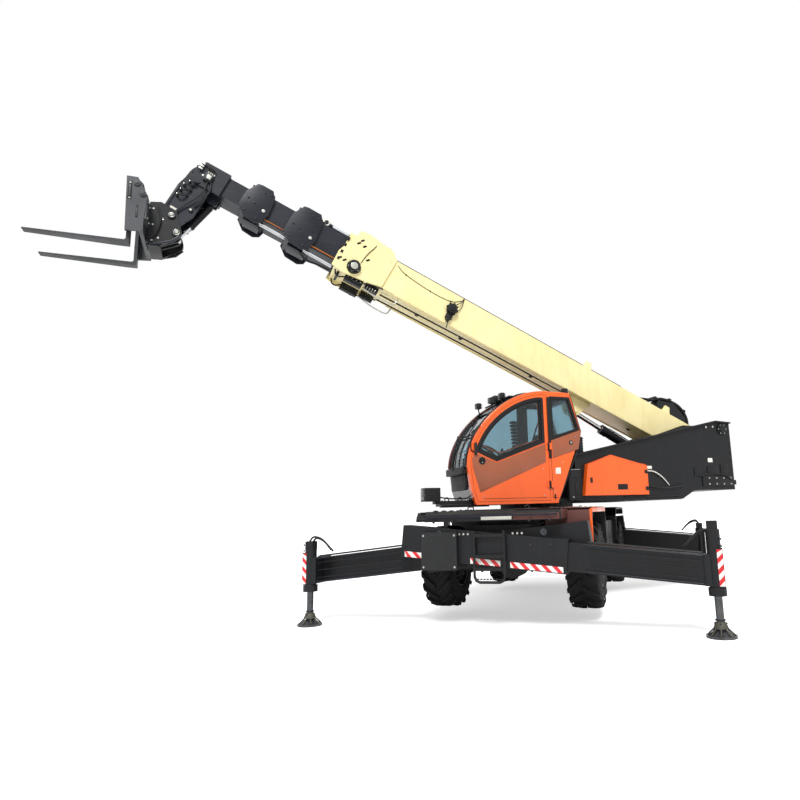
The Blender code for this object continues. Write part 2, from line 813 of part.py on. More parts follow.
def make_cab(turret):
    line = cab_outline()
    shell = slab(line, (cab_inner, cab_outer))
    inner = slab(inset(line, cab_wall), (cab_inner + cab_wall, cab_outer - cab_wall))
    door_hole = slab(door_outline(0.040), (cab_outer - cab_wall - 0.02, cab_outer + 0.1))
    quarter = [
        (door_rear - 0.07, 2.55),
        (door_rear - 0.07, cab_roof - 0.08),
        (cab_back_top + 0.05, cab_roof - 0.08),
        (cab_back + 0.07, cab_back_level + 0.05),
    ]
    quarter_hole = slab(quarter, (cab_outer - cab_wall - 0.02, cab_outer + 0.1))
    right = [
        (cab_heel + 0.06, 2.20),
        (cab_nose - 0.20, 2.20),
        (cab_nose - 0.22, 2.45),
        (1.10, 2.95),
        (0.60, cab_roof - 0.14),
        (cab_back_top + 0.10, cab_roof - 0.14),
        (cab_back + 0.12, cab_back_level),
    ]
    right_hole = slab(right, (cab_inner - 0.1, cab_inner + cab_wall + 0.02))
    front_hole = box((1.0, 2.2), (cab_inner + 0.08, cab_outer - 0.08), (1.84, 3.00))
    rear_slope = box((-0.5, 0.2), (cab_inner + 0.10, cab_outer - 0.12), (2.72, 3.16))
    mesh = cut(shell, inner, door_hole, quarter_hole, right_hole, front_hole, rear_slope)
    floor_cut = box((0, cab_toe + 0.2), (cab_inner - 0.1, panel_out), (cab_floor - 0.1,
            turret_floor + plate + seat_gap))
    deck = box((cab_heel + 0.02, cab_toe - 0.02), (cab_inner + 0.02, cab_outer - cab_wall - 0.005),
               (turret_floor + plate + seat_gap, turret_floor + plate + 0.04))
    mesh = cut(mesh, floor_cut)
    lugs = []
    for level in hinge_levels:
        edge = door_rear - hinge_radius - seat_gap
        lugs.append(box((edge - 0.04, edge), (cab_outer - 0.01, cab_outer + 2 * hinge_radius),
                (level - 0.05, level + 0.05)))
    mesh = fuse(mesh, deck, *lugs)
    piece("cab_shell", mesh, "orange", turret)

    pane_left = (cab_outer - 0.03, cab_outer - 0.03 + glass)
    pane_right = (cab_inner + 0.02, cab_inner + 0.02 + glass)
    piece("quarter_glass", slab(inset(quarter, seat_gap), pane_left), "glass", turret)
    piece("right_glass", slab(inset(right, seat_gap), pane_right), "glass", turret)
    sheet = cut(slab(inset(line, 0.018), (cab_inner + 0.08 + seat_gap, cab_outer - 0.08 - seat_gap)),
                slab(inset(line, 0.018 + glass), (0, 2)),
                box((-3, 1.0 + seat_gap), (0, 2), (0, 5)),
                box((-3, 3), (0, 2), (0, 1.84 + seat_gap)),
                box((-3, 3), (0, 2), (3.00 - seat_gap, 5)))
    piece("windscreen", sheet, "glass", turret)
    back = cut(slab(inset(line, 0.018), (cab_inner + 0.10 + seat_gap, cab_outer - 0.12 - seat_gap)),
               slab(inset(line, 0.018 + glass), (0, 2)),
               box((0.15, 3), (0, 2), (0, 5)),
               box((-3, 3), (0, 2), (0, 2.72 + seat_gap)),
               box((-3, 3), (0, 2), (3.16 - seat_gap, 5)))
    piece("rear_glass", back, "glass", turret)


def make_door(turret):
    """The cab door, hinged on the post at its rear edge."""
    hinge = empty("cab_door_hinge", turret, (door_rear, cab_outer + hinge_radius, 0))
    line = door_outline(0.045)
    leaf = slab(line, (cab_outer - cab_wall, cab_outer))
    hole = slab(door_window(), (cab_outer - 0.2, cab_outer + 0.2))
    shift = (-door_rear, -cab_outer - hinge_radius, 0)
    pins = []
    for level in hinge_levels:
        y = cab_outer + hinge_radius
        pins.append(rod((door_rear, y, level - 0.05), (door_rear, y, level + 0.05), hinge_radius, 12))
        pins.append(box((door_rear, door_rear + 0.05), (cab_outer - 0.01, cab_outer + 0.012),
                (level - 0.05, level + 0.05)))
    piece("cab_door", moved(fuse(cut(leaf, hole), *pins), shift), "orange", hinge)
    pane = slab(inset(door_window(), seat_gap), (cab_outer - 0.03, cab_outer - 0.03 + glass))
    piece("door_glass", moved(pane, shift), "glass", hinge)


def make_cab_inside(turret):
    deck = turret_floor + plate + 0.04 + seat_gap
    y_mid = (cab_inner + cab_outer) / 2
    foot = box((0.42, 0.80), (y_mid - 0.20, y_mid + 0.20), (deck, 1.93))
    piece("seat_base", foot, "plastic", turret)
    seat_top = 1.93 + seat_gap
    line = [
        (0.36, seat_top),
        (0.92, seat_top),
        (0.94, seat_top + 0.10),
        (0.50, seat_top + 0.12),
        (0.32, seat_top + 0.80),
        (0.24, seat_top + 0.80),
        (0.33, seat_top + 0.10),
    ]
    piece("seat_cushion", slab(line, (y_mid - 0.24, y_mid + 0.24)), "fabric", turret)
    post = slab([(1.30, deck), (1.48, deck), (1.46, 2.20), (1.36, 2.28), (1.26, 2.16)], (y_mid - 0.16,
            y_mid + 0.16))
    column = rod((1.34, y_mid, 2.15), (1.188, y_mid, 2.388), 0.03, 12)
    tilt = Matrix.Rotation(math.radians(-32), 3, "Y")
    wheel_ring = moved(rod((0, 0, -0.012), (0, 0, 0.012), 0.19, 24), (1.19, y_mid, 2.385), tilt)
    hollow = moved(rod((0, 0, -0.05), (0, 0, 0.05), 0.16, 24), (1.19, y_mid, 2.385), tilt)
    spoke = moved(box((-0.17, 0.17), (-0.02, 0.02), (-0.008, 0.008)), (1.19, y_mid, 2.385), tilt)
    ring = fuse(cut(wheel_ring, hollow), spoke)
    piece("dash_and_wheel", fuse(post, column, ring), "plastic", turret)


# ---------------------------------------------------------------- boom


def section_shell(index):
    """One hollow boom section with the collar at its head; the next one slides in its mouth."""
    name, width, height, root, collar_start, collar_end = sections[index]
    half_w, half_h = width / 2, height / 2
    low, high = boom_centre - half_h, boom_centre + half_h
    tube_box = box((root, collar_end - 0.01), (-half_w, half_w), (low, high))
    edge = 0.035
    collar = box((collar_start, collar_end), (-half_w - edge, half_w + edge), (low - edge, high + edge))
    hollows = []
    bore_end = collar_end - 0.16
    wall = boom_wall
    hollows.append(box((root - 0.1, bore_end), (-half_w + wall, half_w - wall), (low + wall, high - wall)))
    if index + 1 < len(sections):
        next_w, next_h = sections[index + 1][1:3]
        snug_w, snug_h = next_w / 2 + slide_gap, next_h / 2 + slide_gap
        hollows.append(
            box((bore_end - 0.1, collar_end + 0.1), (-snug_w, snug_w), (boom_centre - snug_h,
                    boom_centre + snug_h))
        )
    return tube_box, collar, hollows


def make_boom_base(boom):
    tube_box, collar, hollows = section_shell(0)
    half_w = sections[0][1] / 2
    low, high = boom_centre - sections[0][2] / 2, boom_centre + sections[0][2] / 2
    head_line = [
        (6.34, low - 0.005),
        (6.60, low - 0.06),
        (7.00, low - 0.10),
        (7.18, low - 0.06),
        (7.18, low + 0.20),
        (7.00, high + 0.15),
        (6.86, high + 0.17),
        (6.40, high + 0.10),
        (6.30, high - 0.01),
    ]
    shapes = []
    for side in (-1, 1):
        y = tuple(sorted((side * (half_w - 0.005), side * (half_w + 0.03))))
        shapes.append(slab(head_line, y))
    collar = box((6.60, 7.14), (-half_w, half_w), (low - 0.04, high + 0.04))
    shapes.append(collar)
    eye_x, eye_z = lift_eye
    ear_line = [
        (eye_x - 0.26, low + 0.01),
        (eye_x - 0.08, eye_z - 0.07),
        (eye_x + 0.08, eye_z - 0.07),
        (eye_x + 0.34, low + 0.01),
    ]
    for side in (-1, 1):
        y = tuple(sorted((side * ear_inner, side * ear_outer)))
        shapes.append(slab(ear_line, y))
        shapes.append(rod((eye_x, side * (ear_outer - 0.01), eye_z), (eye_x, side * (ear_outer + 0.02),
                eye_z), 0.05, 16))
    for x in (2.44, 0.60):
        shapes.append(slab([(x - 0.10, high - 0.01), (x + 0.10, high - 0.01), (x + 0.05, high + 0.13),
                (x - 0.05, high + 0.13)],
                           (half_w - 0.05, half_w - 0.02)))
    body = fuse(tube_box, *shapes)
    hollows.append(bore((0, -1, 0), (0, 1, 0), 0.055))
    piece("boom_base", cut(body, *hollows), "cream", boom)


def make_section(index, parent):
    tube_box, collar, hollows = section_shell(index)
    name = sections[index][0]
    extend = empty("telescope_" + str(index), parent, (0, 0, 0))
    body = fuse(tube_box, collar)
    if index + 1 < len(sections):
        piece(name, cut(body, *hollows), "navy", extend)
        return extend
    pivot = fork_pivot
    side_line = [
        (9.08, boom_centre + 0.10),
        (9.11, boom_centre - 0.12),
        (9.20, -0.26),
        (9.215, -0.76),
        (9.30, -0.98),
        (9.47, -1.06),
        (9.62, -0.93),
        (9.62, -0.40),
        (9.53, 0.02),
        (9.46, 0.13),
        (9.14, 0.13),
    ]
    shapes = []
    for side in (-1, 1):
        y = tuple(sorted((side * 0.165, side * 0.205)))
        shapes.append(slab(side_line, y))
    web = slab([(9.31, -0.10), (9.31, -0.76), (9.58, -0.76), (9.58, -0.10)], (-0.18, 0.18))
    core = slab([(9.34, 0.1), (9.34, -0.72), (9.55, -0.72), (9.55, 0.1)], (-0.14, 0.14))
    shapes.append(cut(web, core))
    top = slab([(9.20, 0.10), (9.20, 0.05), (9.50, 0.05), (9.50, 0.10)], (-0.18, 0.18))
    shapes.append(top)
    shapes.append(rod((pivot[0], -0.20, pivot[1]), (pivot[0], 0.20, pivot[1]), 0.045, 16))
    for side in (-1, 1):
        y = tuple(sorted((side * 0.04, side * 0.075)))
        shapes.append(slab([(9.06, -0.20), (9.06, -0.38), (9.16, -0.40), (9.26, -0.36), (9.26, -0.20)], y))
    shapes.append(rod((tilt_head[0], -0.06, tilt_head[1]), (tilt_head[0], 0.06, tilt_head[1]), 0.02, 12))
    solid_head = fuse(cut(body, *hollows), *shapes)
    piece(name, solid_head, "navy", extend)
    return extend


def make_hose_tray(boom):
    """The hose channel on top of the boom, with the tube of the top cylinder beside it."""
    high = boom_centre + sections[0][2] / 2 + seat_gap
    channel = box((0.30, 6.25), (-0.25, 0.02), (high, high + 0.11))
    hump = slab([(-0.12, high), (0.62, high), (0.66, high + 0.30), (0.30, high + 0.40), (-0.05,
            high + 0.25)], (-0.22, 0.0))
    pipe = rod((1.60, 0.12, high + 0.055), (6.58, 0.12, high + 0.055), 0.045, 14)
    straps = []
    for x in (1.9, 4.1, 6.1):
        straps.append(box((x - 0.03, x + 0.03), (-0.10, 0.16), (high, high + 0.05)))
    inside = rod((1.75, 0.12, high + 0.055), (6.9, 0.12, high + 0.055), 0.030 + slide_gap, 14)
    piece("hose_tray", cut(fuse(channel, hump, pipe, *straps), inside), "black", boom)
    return high + 0.055


def make_cylinder(boom, turret):
    """The lift cylinder from the turret's cross pin to the boom's eye."""
    eye = Vector((pivot_x, 0, pivot_z)) + boom_point(*lift_eye)
    foot = Vector((lift_foot[0], 0, lift_foot[1]))
    along = eye - foot
    slant = math.atan2(along.z, along.x)
    base = empty("lift_barrel_hinge", turret, foot, (0, -slant, 0))
    length = 1.62
    barrel = rod((0.02, 0, 0), (length, 0, 0), lift_radius, 24)
    knob = rod((0, -0.10, 0), (0, 0.10, 0), 0.10, 20)
    gland = rod((length - 0.10, 0, 0), (length + 0.04, 0, 0), lift_radius + 0.010, 24)
    body = fuse(barrel, knob, gland)
    pin = bore((0, -0.5, 0), (0, 0.5, 0), 0.045, 16)
    inside = rod((0.22, 0, 0), (length + 0.2, 0, 0), lift_rod_radius + slide_gap, 20)
    piece("lift_barrel", cut(body, pin, inside), "black", base, smooth=True)
    out = empty("lift_rod_slide", base, (0, 0, 0))
    reach = along.length
    stem = rod((reach - 1.58, 0, 0), (reach - 0.03, 0, 0), lift_rod_radius, 20)
    half_head = ear_inner - seat_gap
    head = rod((reach, -half_head, 0), (reach, half_head, 0), 0.065, 20)
    piece("lift_rod", fuse(stem, head), "chrome", out, smooth=True)


def boom_point(x, z):
    """A point of the boom's frame, as an offset in the turret's frame."""
    return Vector((x * math.cos(luff) - z * math.sin(luff), 0, x * math.sin(luff) + z * math.cos(luff)))


def make_tilt_cylinder(head_frame):
    start = Vector((tilt_head[0], 0, tilt_head[1]))
    end = Vector((tilt_eye[0], 0, tilt_eye[1]))
    along = end - start
    slant = math.atan2(along.z, along.x)
    base = empty("tilt_barrel_hinge", head_frame, start, (0, -slant, 0))
    reach = along.length
    length = reach - 0.27
    barrel = rod((0.085, 0, 0), (length, 0, 0), tilt_radius, 20)
    neck = rod((0.01, 0, 0), (0.12, 0, 0), 0.034, 16)
    knob = rod((0, -0.036, 0), (0, 0.036, 0), 0.042, 16)
    pin = bore((0, -0.5, 0), (0, 0.5, 0), 0.02, 12)
    inside = rod((0.13, 0, 0), (reach, 0, 0), tilt_rod_radius + slide_gap, 16)
    piece("tilt_barrel", cut(fuse(barrel, neck, knob), pin, inside), "black", base, smooth=True)
    out = empty("tilt_rod_slide", base, (0, 0, 0))
    stem = rod((0.35, 0, 0), (reach - 0.02, 0, 0), tilt_rod_radius, 16)
    half_head = lug_inner - seat_gap
    head = rod((reach, -half_head, 0), (reach, half_head, 0), 0.042, 16)
    piece("tilt_rod", fuse(stem, head), "chrome", out, smooth=True)


# ---------------------------------------------------------------- forks


def make_forks(head_frame):
    """Coupler, carriage and two forks; their frame hangs level from the fork pivot."""
    hang = empty("fork_tilt", head_frame, (fork_pivot[0], 0, fork_pivot[1]), (0, luff, 0))
    at = Vector((pivot_x, 0, pivot_z)) + boom_point(*fork_pivot)
    eye = Vector((pivot_x, 0, pivot_z)) + boom_point(*tilt_eye)
    shift = (-at.x, 0, -at.z)
    front = carriage_rear - seat_gap
    cheek_line = [
        (front, 6.00),
        (at.x + 0.14, 6.02),
        (at.x - 0.06, at.z + 0.08),
        (eye.x - 0.06, eye.z + 0.03),
        (eye.x - 0.05, eye.z - 0.06),
        (front - 0.14, 5.34),
        (front, 5.34),
    ]
    shapes = []
    for side in (-1, 1):
        y = tuple(sorted((side * 0.212, side * 0.262)))
        shapes.append(slab(cheek_line[::-1], y))
    face = box((front - 0.05, front), (-0.26, 0.26), (5.34, 6.00))
    low_bar = box((front - 0.16, front - 0.02), (-0.24, 0.24), (5.34, 5.40))
    shapes.append(low_bar)
    lug_line = [
        (front - 0.03, 5.36),
        (front - 0.03, 5.56),
        (eye.x + 0.01, eye.z + 0.05),
        (eye.x - 0.05, eye.z),
        (eye.x - 0.01, eye.z - 0.06),
    ]
    for side in (-1, 1):
        y = tuple(sorted((side * lug_inner, side * lug_outer)))
        shapes.append(slab(lug_line, y))
        shapes.append(rod((eye.x, side * (lug_outer - 0.01), eye.z), (eye.x, side * 0.23, eye.z), 0.02, 12))
    body = fuse(face, *shapes)
    pin = bore((at.x, -0.5, at.z), (at.x, 0.5, at.z), 0.045, 16)
    piece("coupler", moved(cut(body, pin), shift), "black", hang)

    back, nose = carriage_rear, carriage_front
    side_line = [
        (nose - 0.02, carriage_bottom),
        (nose, carriage_top),
        (back + 0.13, carriage_top),
        (back, carriage_top - 0.26),
        (back + 0.03, carriage_bottom + 0.20),
        (back + 0.03, carriage_bottom + 0.02),
    ]
    bars = []
    for side in (-1, 1):
        y = tuple(sorted((side * (carriage_half - 0.04), side * carriage_half)))
        bars.append(slab(side_line, y))
    shaft_x, shaft_z = back + 0.135, carriage_top - 0.09
    mesh = box((back, back + 0.04), (-carriage_half + 0.01, carriage_half - 0.01), (5.60, 5.96))
    shaft = rod((shaft_x, -carriage_half - 0.012, shaft_z), (shaft_x, carriage_half + 0.012, shaft_z),
            0.04, 20)
    lower = box((back + 0.035, back + 0.085), (-carriage_half + 0.01, carriage_half - 0.01),
            (carriage_bottom + 0.02, carriage_bottom + 0.14))
    stay = rod((back + 0.06, -carriage_half - 0.012, 5.95), (back + 0.06, carriage_half + 0.012, 5.95),
            0.035, 20)
    for side in (-1, 1):
        y = tuple(sorted((side * 0.10, side * 0.16)))
        bars.append(box((back + 0.01, back + 0.08), y, (carriage_bottom + 0.03, 5.98)))
    piece("fork_carriage", moved(fuse(mesh, *bars, shaft, lower, stay), shift), "grey", hang)

    for name, side in (("fork_left", 1), ("fork_right", -1)):
        middle = side * fork_spacing / 2
        shank = (shaft_x + 0.06, shaft_x + 0.105)
        line = [
            (shank[0], tine_level - 0.025),
            (heel_x + 0.12, tine_level - 0.025),
            (heel_x + tine_length, tine_level + 0.010),
            (heel_x + tine_length, tine_level + 0.025),
            (shank[1] + 0.02, tine_level + 0.025),
            (shank[1], tine_level + 0.045),
            (shank[1], shaft_z - 0.02),
            (shank[0], shaft_z - 0.02),
        ]
        y = (middle - 0.065, middle + 0.065)
        eye_ring = rod((shaft_x, y[0], shaft_z), (shaft_x, y[1], shaft_z), 0.075, 20)
        hole = rod((shaft_x, -1, shaft_z), (shaft_x, 1, shaft_z), 0.04 + slide_gap, 20)
        lug = box((shaft_x, shank[1]), y, (shaft_z - 0.07, shaft_z - 0.0))
        mesh = cut(fuse(slab(line, y), eye_ring, lug), hole)
        piece(name, moved(mesh, shift), "fork", hang)


# ---------------------------------------------------------------- assembly

clear_scene()
parts = new_collection("rotating_telehandler")
guides = new_collection("guides")

turn = math.radians(chassis_turn)
jack_reach = abs(jack_along * math.cos(turn)) + abs(jack_out * math.sin(turn)) + jack_foot_radius
slew_x = (heel_x + tine_length - jack_reach) / 2

machine = empty("machine", None, (slew_x, 0, 0))
chassis = empty("chassis", machine, (0, 0, 0), (0, 0, -turn))
turret = empty("turret", machine, (0, 0, 0), (0, 0, math.pi))
boom = empty("boom", turret, (pivot_x, 0, pivot_z), (0, -luff, 0))

make_frame(chassis)
make_axle(chassis, "axle_front", 1)
make_axle(chassis, "axle_rear", -1)
make_housings(chassis, "outrigger_boxes_front", 1)
make_housings(chassis, "outrigger_boxes_rear", -1)
make_bodywork(chassis, "bodywork_front", 1)
make_bodywork(chassis, "bodywork_rear", -1)
make_side_tank(chassis, "side_tank_left", 1)
make_side_tank(chassis, "side_tank_right", -1)
make_ladder(chassis)
make_pad(chassis)
for corner, end, side, centre, cap in corners:
    steer = make_knuckle(chassis, corner, end, side)
    make_wheel(steer, corner, side)
    make_outrigger(chassis, corner, end, side, centre, cap)

make_turret_frame(turret)
make_side_panel(turret)
make_counterweight(turret)
make_engine(turret)
make_side_cover(turret)
make_battery_box(turret)
make_lamp_bracket(turret)
make_cab(turret)
make_door(turret)
make_cab_inside(turret)

make_boom_base(boom)
make_hose_tray(boom)
make_cylinder(boom, turret)
carrier_frame = boom
for number in range(1, len(sections)):
    carrier_frame = make_section(number, carrier_frame)
make_tilt_cylinder(carrier_frame)
make_forks(carrier_frame)
bpy.context.view_layer.update()
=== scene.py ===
import json
import math

import bmesh
import bpy
from mathutils import Matrix, Vector


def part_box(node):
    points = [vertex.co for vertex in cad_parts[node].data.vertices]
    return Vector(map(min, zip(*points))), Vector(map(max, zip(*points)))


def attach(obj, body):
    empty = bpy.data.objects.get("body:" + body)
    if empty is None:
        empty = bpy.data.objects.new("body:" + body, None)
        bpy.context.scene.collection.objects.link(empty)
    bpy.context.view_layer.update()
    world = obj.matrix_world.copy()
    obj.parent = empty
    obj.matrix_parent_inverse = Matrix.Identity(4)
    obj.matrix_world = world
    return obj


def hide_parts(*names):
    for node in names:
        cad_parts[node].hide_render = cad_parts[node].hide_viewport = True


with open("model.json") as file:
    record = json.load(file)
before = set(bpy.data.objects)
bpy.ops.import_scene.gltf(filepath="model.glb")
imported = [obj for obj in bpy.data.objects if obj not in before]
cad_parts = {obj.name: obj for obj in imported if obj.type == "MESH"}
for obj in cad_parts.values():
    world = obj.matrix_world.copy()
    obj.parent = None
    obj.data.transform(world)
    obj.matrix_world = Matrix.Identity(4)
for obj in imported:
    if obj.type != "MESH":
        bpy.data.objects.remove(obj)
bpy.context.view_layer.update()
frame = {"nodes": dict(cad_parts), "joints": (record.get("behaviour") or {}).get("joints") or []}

nodes = frame["nodes"]
joints = {joint["name"]: joint for joint in frame["joints"]}


# Frames of the machine's own parts, read from its joints.
def frameAt(origin, x, y):
    x, y = Vector(x).normalized(), Vector(y).normalized()
    columns = Matrix((x, y, x.cross(y))).transposed()
    return Matrix.Translation(origin) @ columns.to_4x4()


slewPoint = Vector(joints["slew"]["pos_m"])
slewPoint.z = 0
boomPivot = Vector(joints["boom_lift"]["pos_m"])
leftward = Vector((0, -1, 0))  # the cab's side of the turret
wheelAxis = Vector(joints["spin_front_left"]["axis"])
turretFrame = frameAt(slewPoint, (-1, 0, 0), leftward)
boomFrame = frameAt(boomPivot, joints["telescope_1"]["axis"], leftward)
forkFrame = frameAt((slewPoint.x, 0, 0), (-1, 0, 0), leftward)
chassisFrame = frameAt(slewPoint, wheelAxis.cross((0, 0, 1)), wheelAxis)
liftFrame = frameAt(joints["lift_barrel_swing"]["pos_m"], joints["lift_rod_stroke"]["axis"], leftward)
tiltFrame = frameAt(joints["tilt_barrel_swing"]["pos_m"], joints["tilt_rod_stroke"]["axis"], leftward)
corners = ["front_left", "front_right", "rear_left", "rear_right"]


# Turns an sRGB hex colour to linear.
def linear(hexColour):
    channels = [int(hexColour[i:i + 2], 16) / 255 for i in (1, 3, 5)]
    return [c / 12.92 if c < 0.04045 else ((c + 0.055) / 1.055) ** 2.4 for c in channels] + [1.0]


def addNode(tree, kind, settings=None, links=None):
    node = tree.nodes.new(kind)
    for key, value in (settings or {}).items():
        if isinstance(key, str) and hasattr(node, key):
            setattr(node, key, value)
        else:
            node.inputs[key].default_value = value
    for key, source in (links or {}).items():
        tree.links.new(source, node.inputs[key])
    return node


def newMaterial(name):
    material = bpy.data.materials.new(name)
    material.use_nodes = True
    tree = material.node_tree
    return material, tree, tree.nodes["Principled BSDF"]


# Blends two colours, each a hex string or a socket.
def mixColour(tree, share, first, second):
    mix = addNode(tree, "ShaderNodeMix", {"data_type": "RGBA"}, {0: share})
    for socket, colour in ((mix.inputs[6], first), (mix.inputs[7], second)):
        if isinstance(colour, str):
            socket.default_value = linear(colour)
        else:
            tree.links.new(colour, socket)
    return mix.outputs[2]


# A noise of the given size as a 0 to 1 share, with its ends at low and high.
def noiseShare(tree, coords, millimetres, low, high, stretch=(1, 1, 1)):
    scaled = addNode(tree, "ShaderNodeMapping", {"Scale": stretch}, {"Vector": coords})
    noise = addNode(tree, "ShaderNodeTexNoise", {"Scale": 1000 / millimetres, "Detail": 4.0,
        "Roughness": 0.6},
                    {"Vector": scaled.outputs[0]})
    return addNode(tree, "ShaderNodeMapRange", {"From Min": low, "From Max": high},
                   {"Value": noise.outputs["Fac"]}).outputs[0]


# A painted, moulded or bare surface: patches, streaks, dust, worn edges, roughness and grain.
def makeFinish(name, look):
    material, tree, shader = newMaterial(name)
    coords = addNode(tree, "ShaderNodeTexCoord").outputs["Object"]
    geometry = addNode(tree, "ShaderNodeNewGeometry")
    softened = addNode(tree, "ShaderNodeBevel", {"samples": 4, "Radius": look.get("edgeMm", 4) / 1000})
    patches = noiseShare(tree, coords, look.get("patchMm", 600), 0.35, 0.7)
    colour = mixColour(tree, patches, look["colour"], look.get("faded", look["colour"]))
    if "streak" in look:
        streaks = noiseShare(tree, coords, look.get("streakMm", 90), 0.5, 0.8,
            look.get("streakWay", (1, 1, 0.12)))
        amount = addNode(tree, "ShaderNodeMath", {"operation": "MULTIPLY",
            1: look.get("streakShare", 0.35)},
                         {0: streaks}).outputs[0]
        colour = mixColour(tree, amount, colour, look["streak"])
    if "dust" in look:
        facing = addNode(tree, "ShaderNodeSeparateXYZ", {}, {0: geometry.outputs["Normal"]}).outputs[2]
        share = {"From Min": 0.2, "From Max": 1.0, "To Max": look.get("dustShare", 0.4)}
        upward = addNode(tree, "ShaderNodeMapRange", share, {"Value": facing})
        settled = addNode(tree, "ShaderNodeMath", {"operation": "MULTIPLY"},
                          {0: upward.outputs[0], 1: noiseShare(tree, coords, 140, 0.3, 0.62)}).outputs[0]
        colour = mixColour(tree, settled, colour, look["dust"])
    if "worn" in look:
        turn = addNode(tree, "ShaderNodeVectorMath", {"operation": "DOT_PRODUCT"},
                       {0: softened.outputs[0], 1: geometry.outputs["Normal"]})
        edge = addNode(tree, "ShaderNodeMapRange", {"From Min": 0.985, "From Max": 0.86},
            {"Value": turn.outputs["Value"]})
        chipped = addNode(tree, "ShaderNodeMath", {"operation": "MULTIPLY"},
                          {0: edge.outputs[0], 1: noiseShare(tree, coords, 35, 0.48, 0.62)}).outputs[0]
        colour = mixColour(tree, chipped, colour, look["worn"])
    tree.links.new(colour, shader.inputs["Base Color"])
    rough = addNode(tree, "ShaderNodeMapRange", {"To Min": look["rough"][0], "To Max": look["rough"][1]},
        {"Value": patches})
    tree.links.new(rough.outputs[0], shader.inputs["Roughness"])
    grain = addNode(tree, "ShaderNodeTexNoise", {"Scale": 1000 / look.get("grainMm", 8), "Detail": 3.0},
        {"Vector": coords})
    bump = addNode(tree, "ShaderNodeBump", {"Strength": look.get("bump", 0.15),
        "Distance": look.get("grainMm", 8) / 4000},
                   {"Height": grain.outputs["Fac"], "Normal": softened.outputs[0]})
    tree.links.new(bump.outputs[0], shader.inputs["Normal"])
    shader.inputs["Metallic"].default_value = look.get("metallic", 0.0)
    shader.inputs["Specular IOR Level"].default_value = look.get("specular", 0.5)
    shader.inputs["Coat Weight"].default_value = look.get("coat", 0.0)
    shader.inputs["Coat Roughness"].default_value = 0.12
    return material


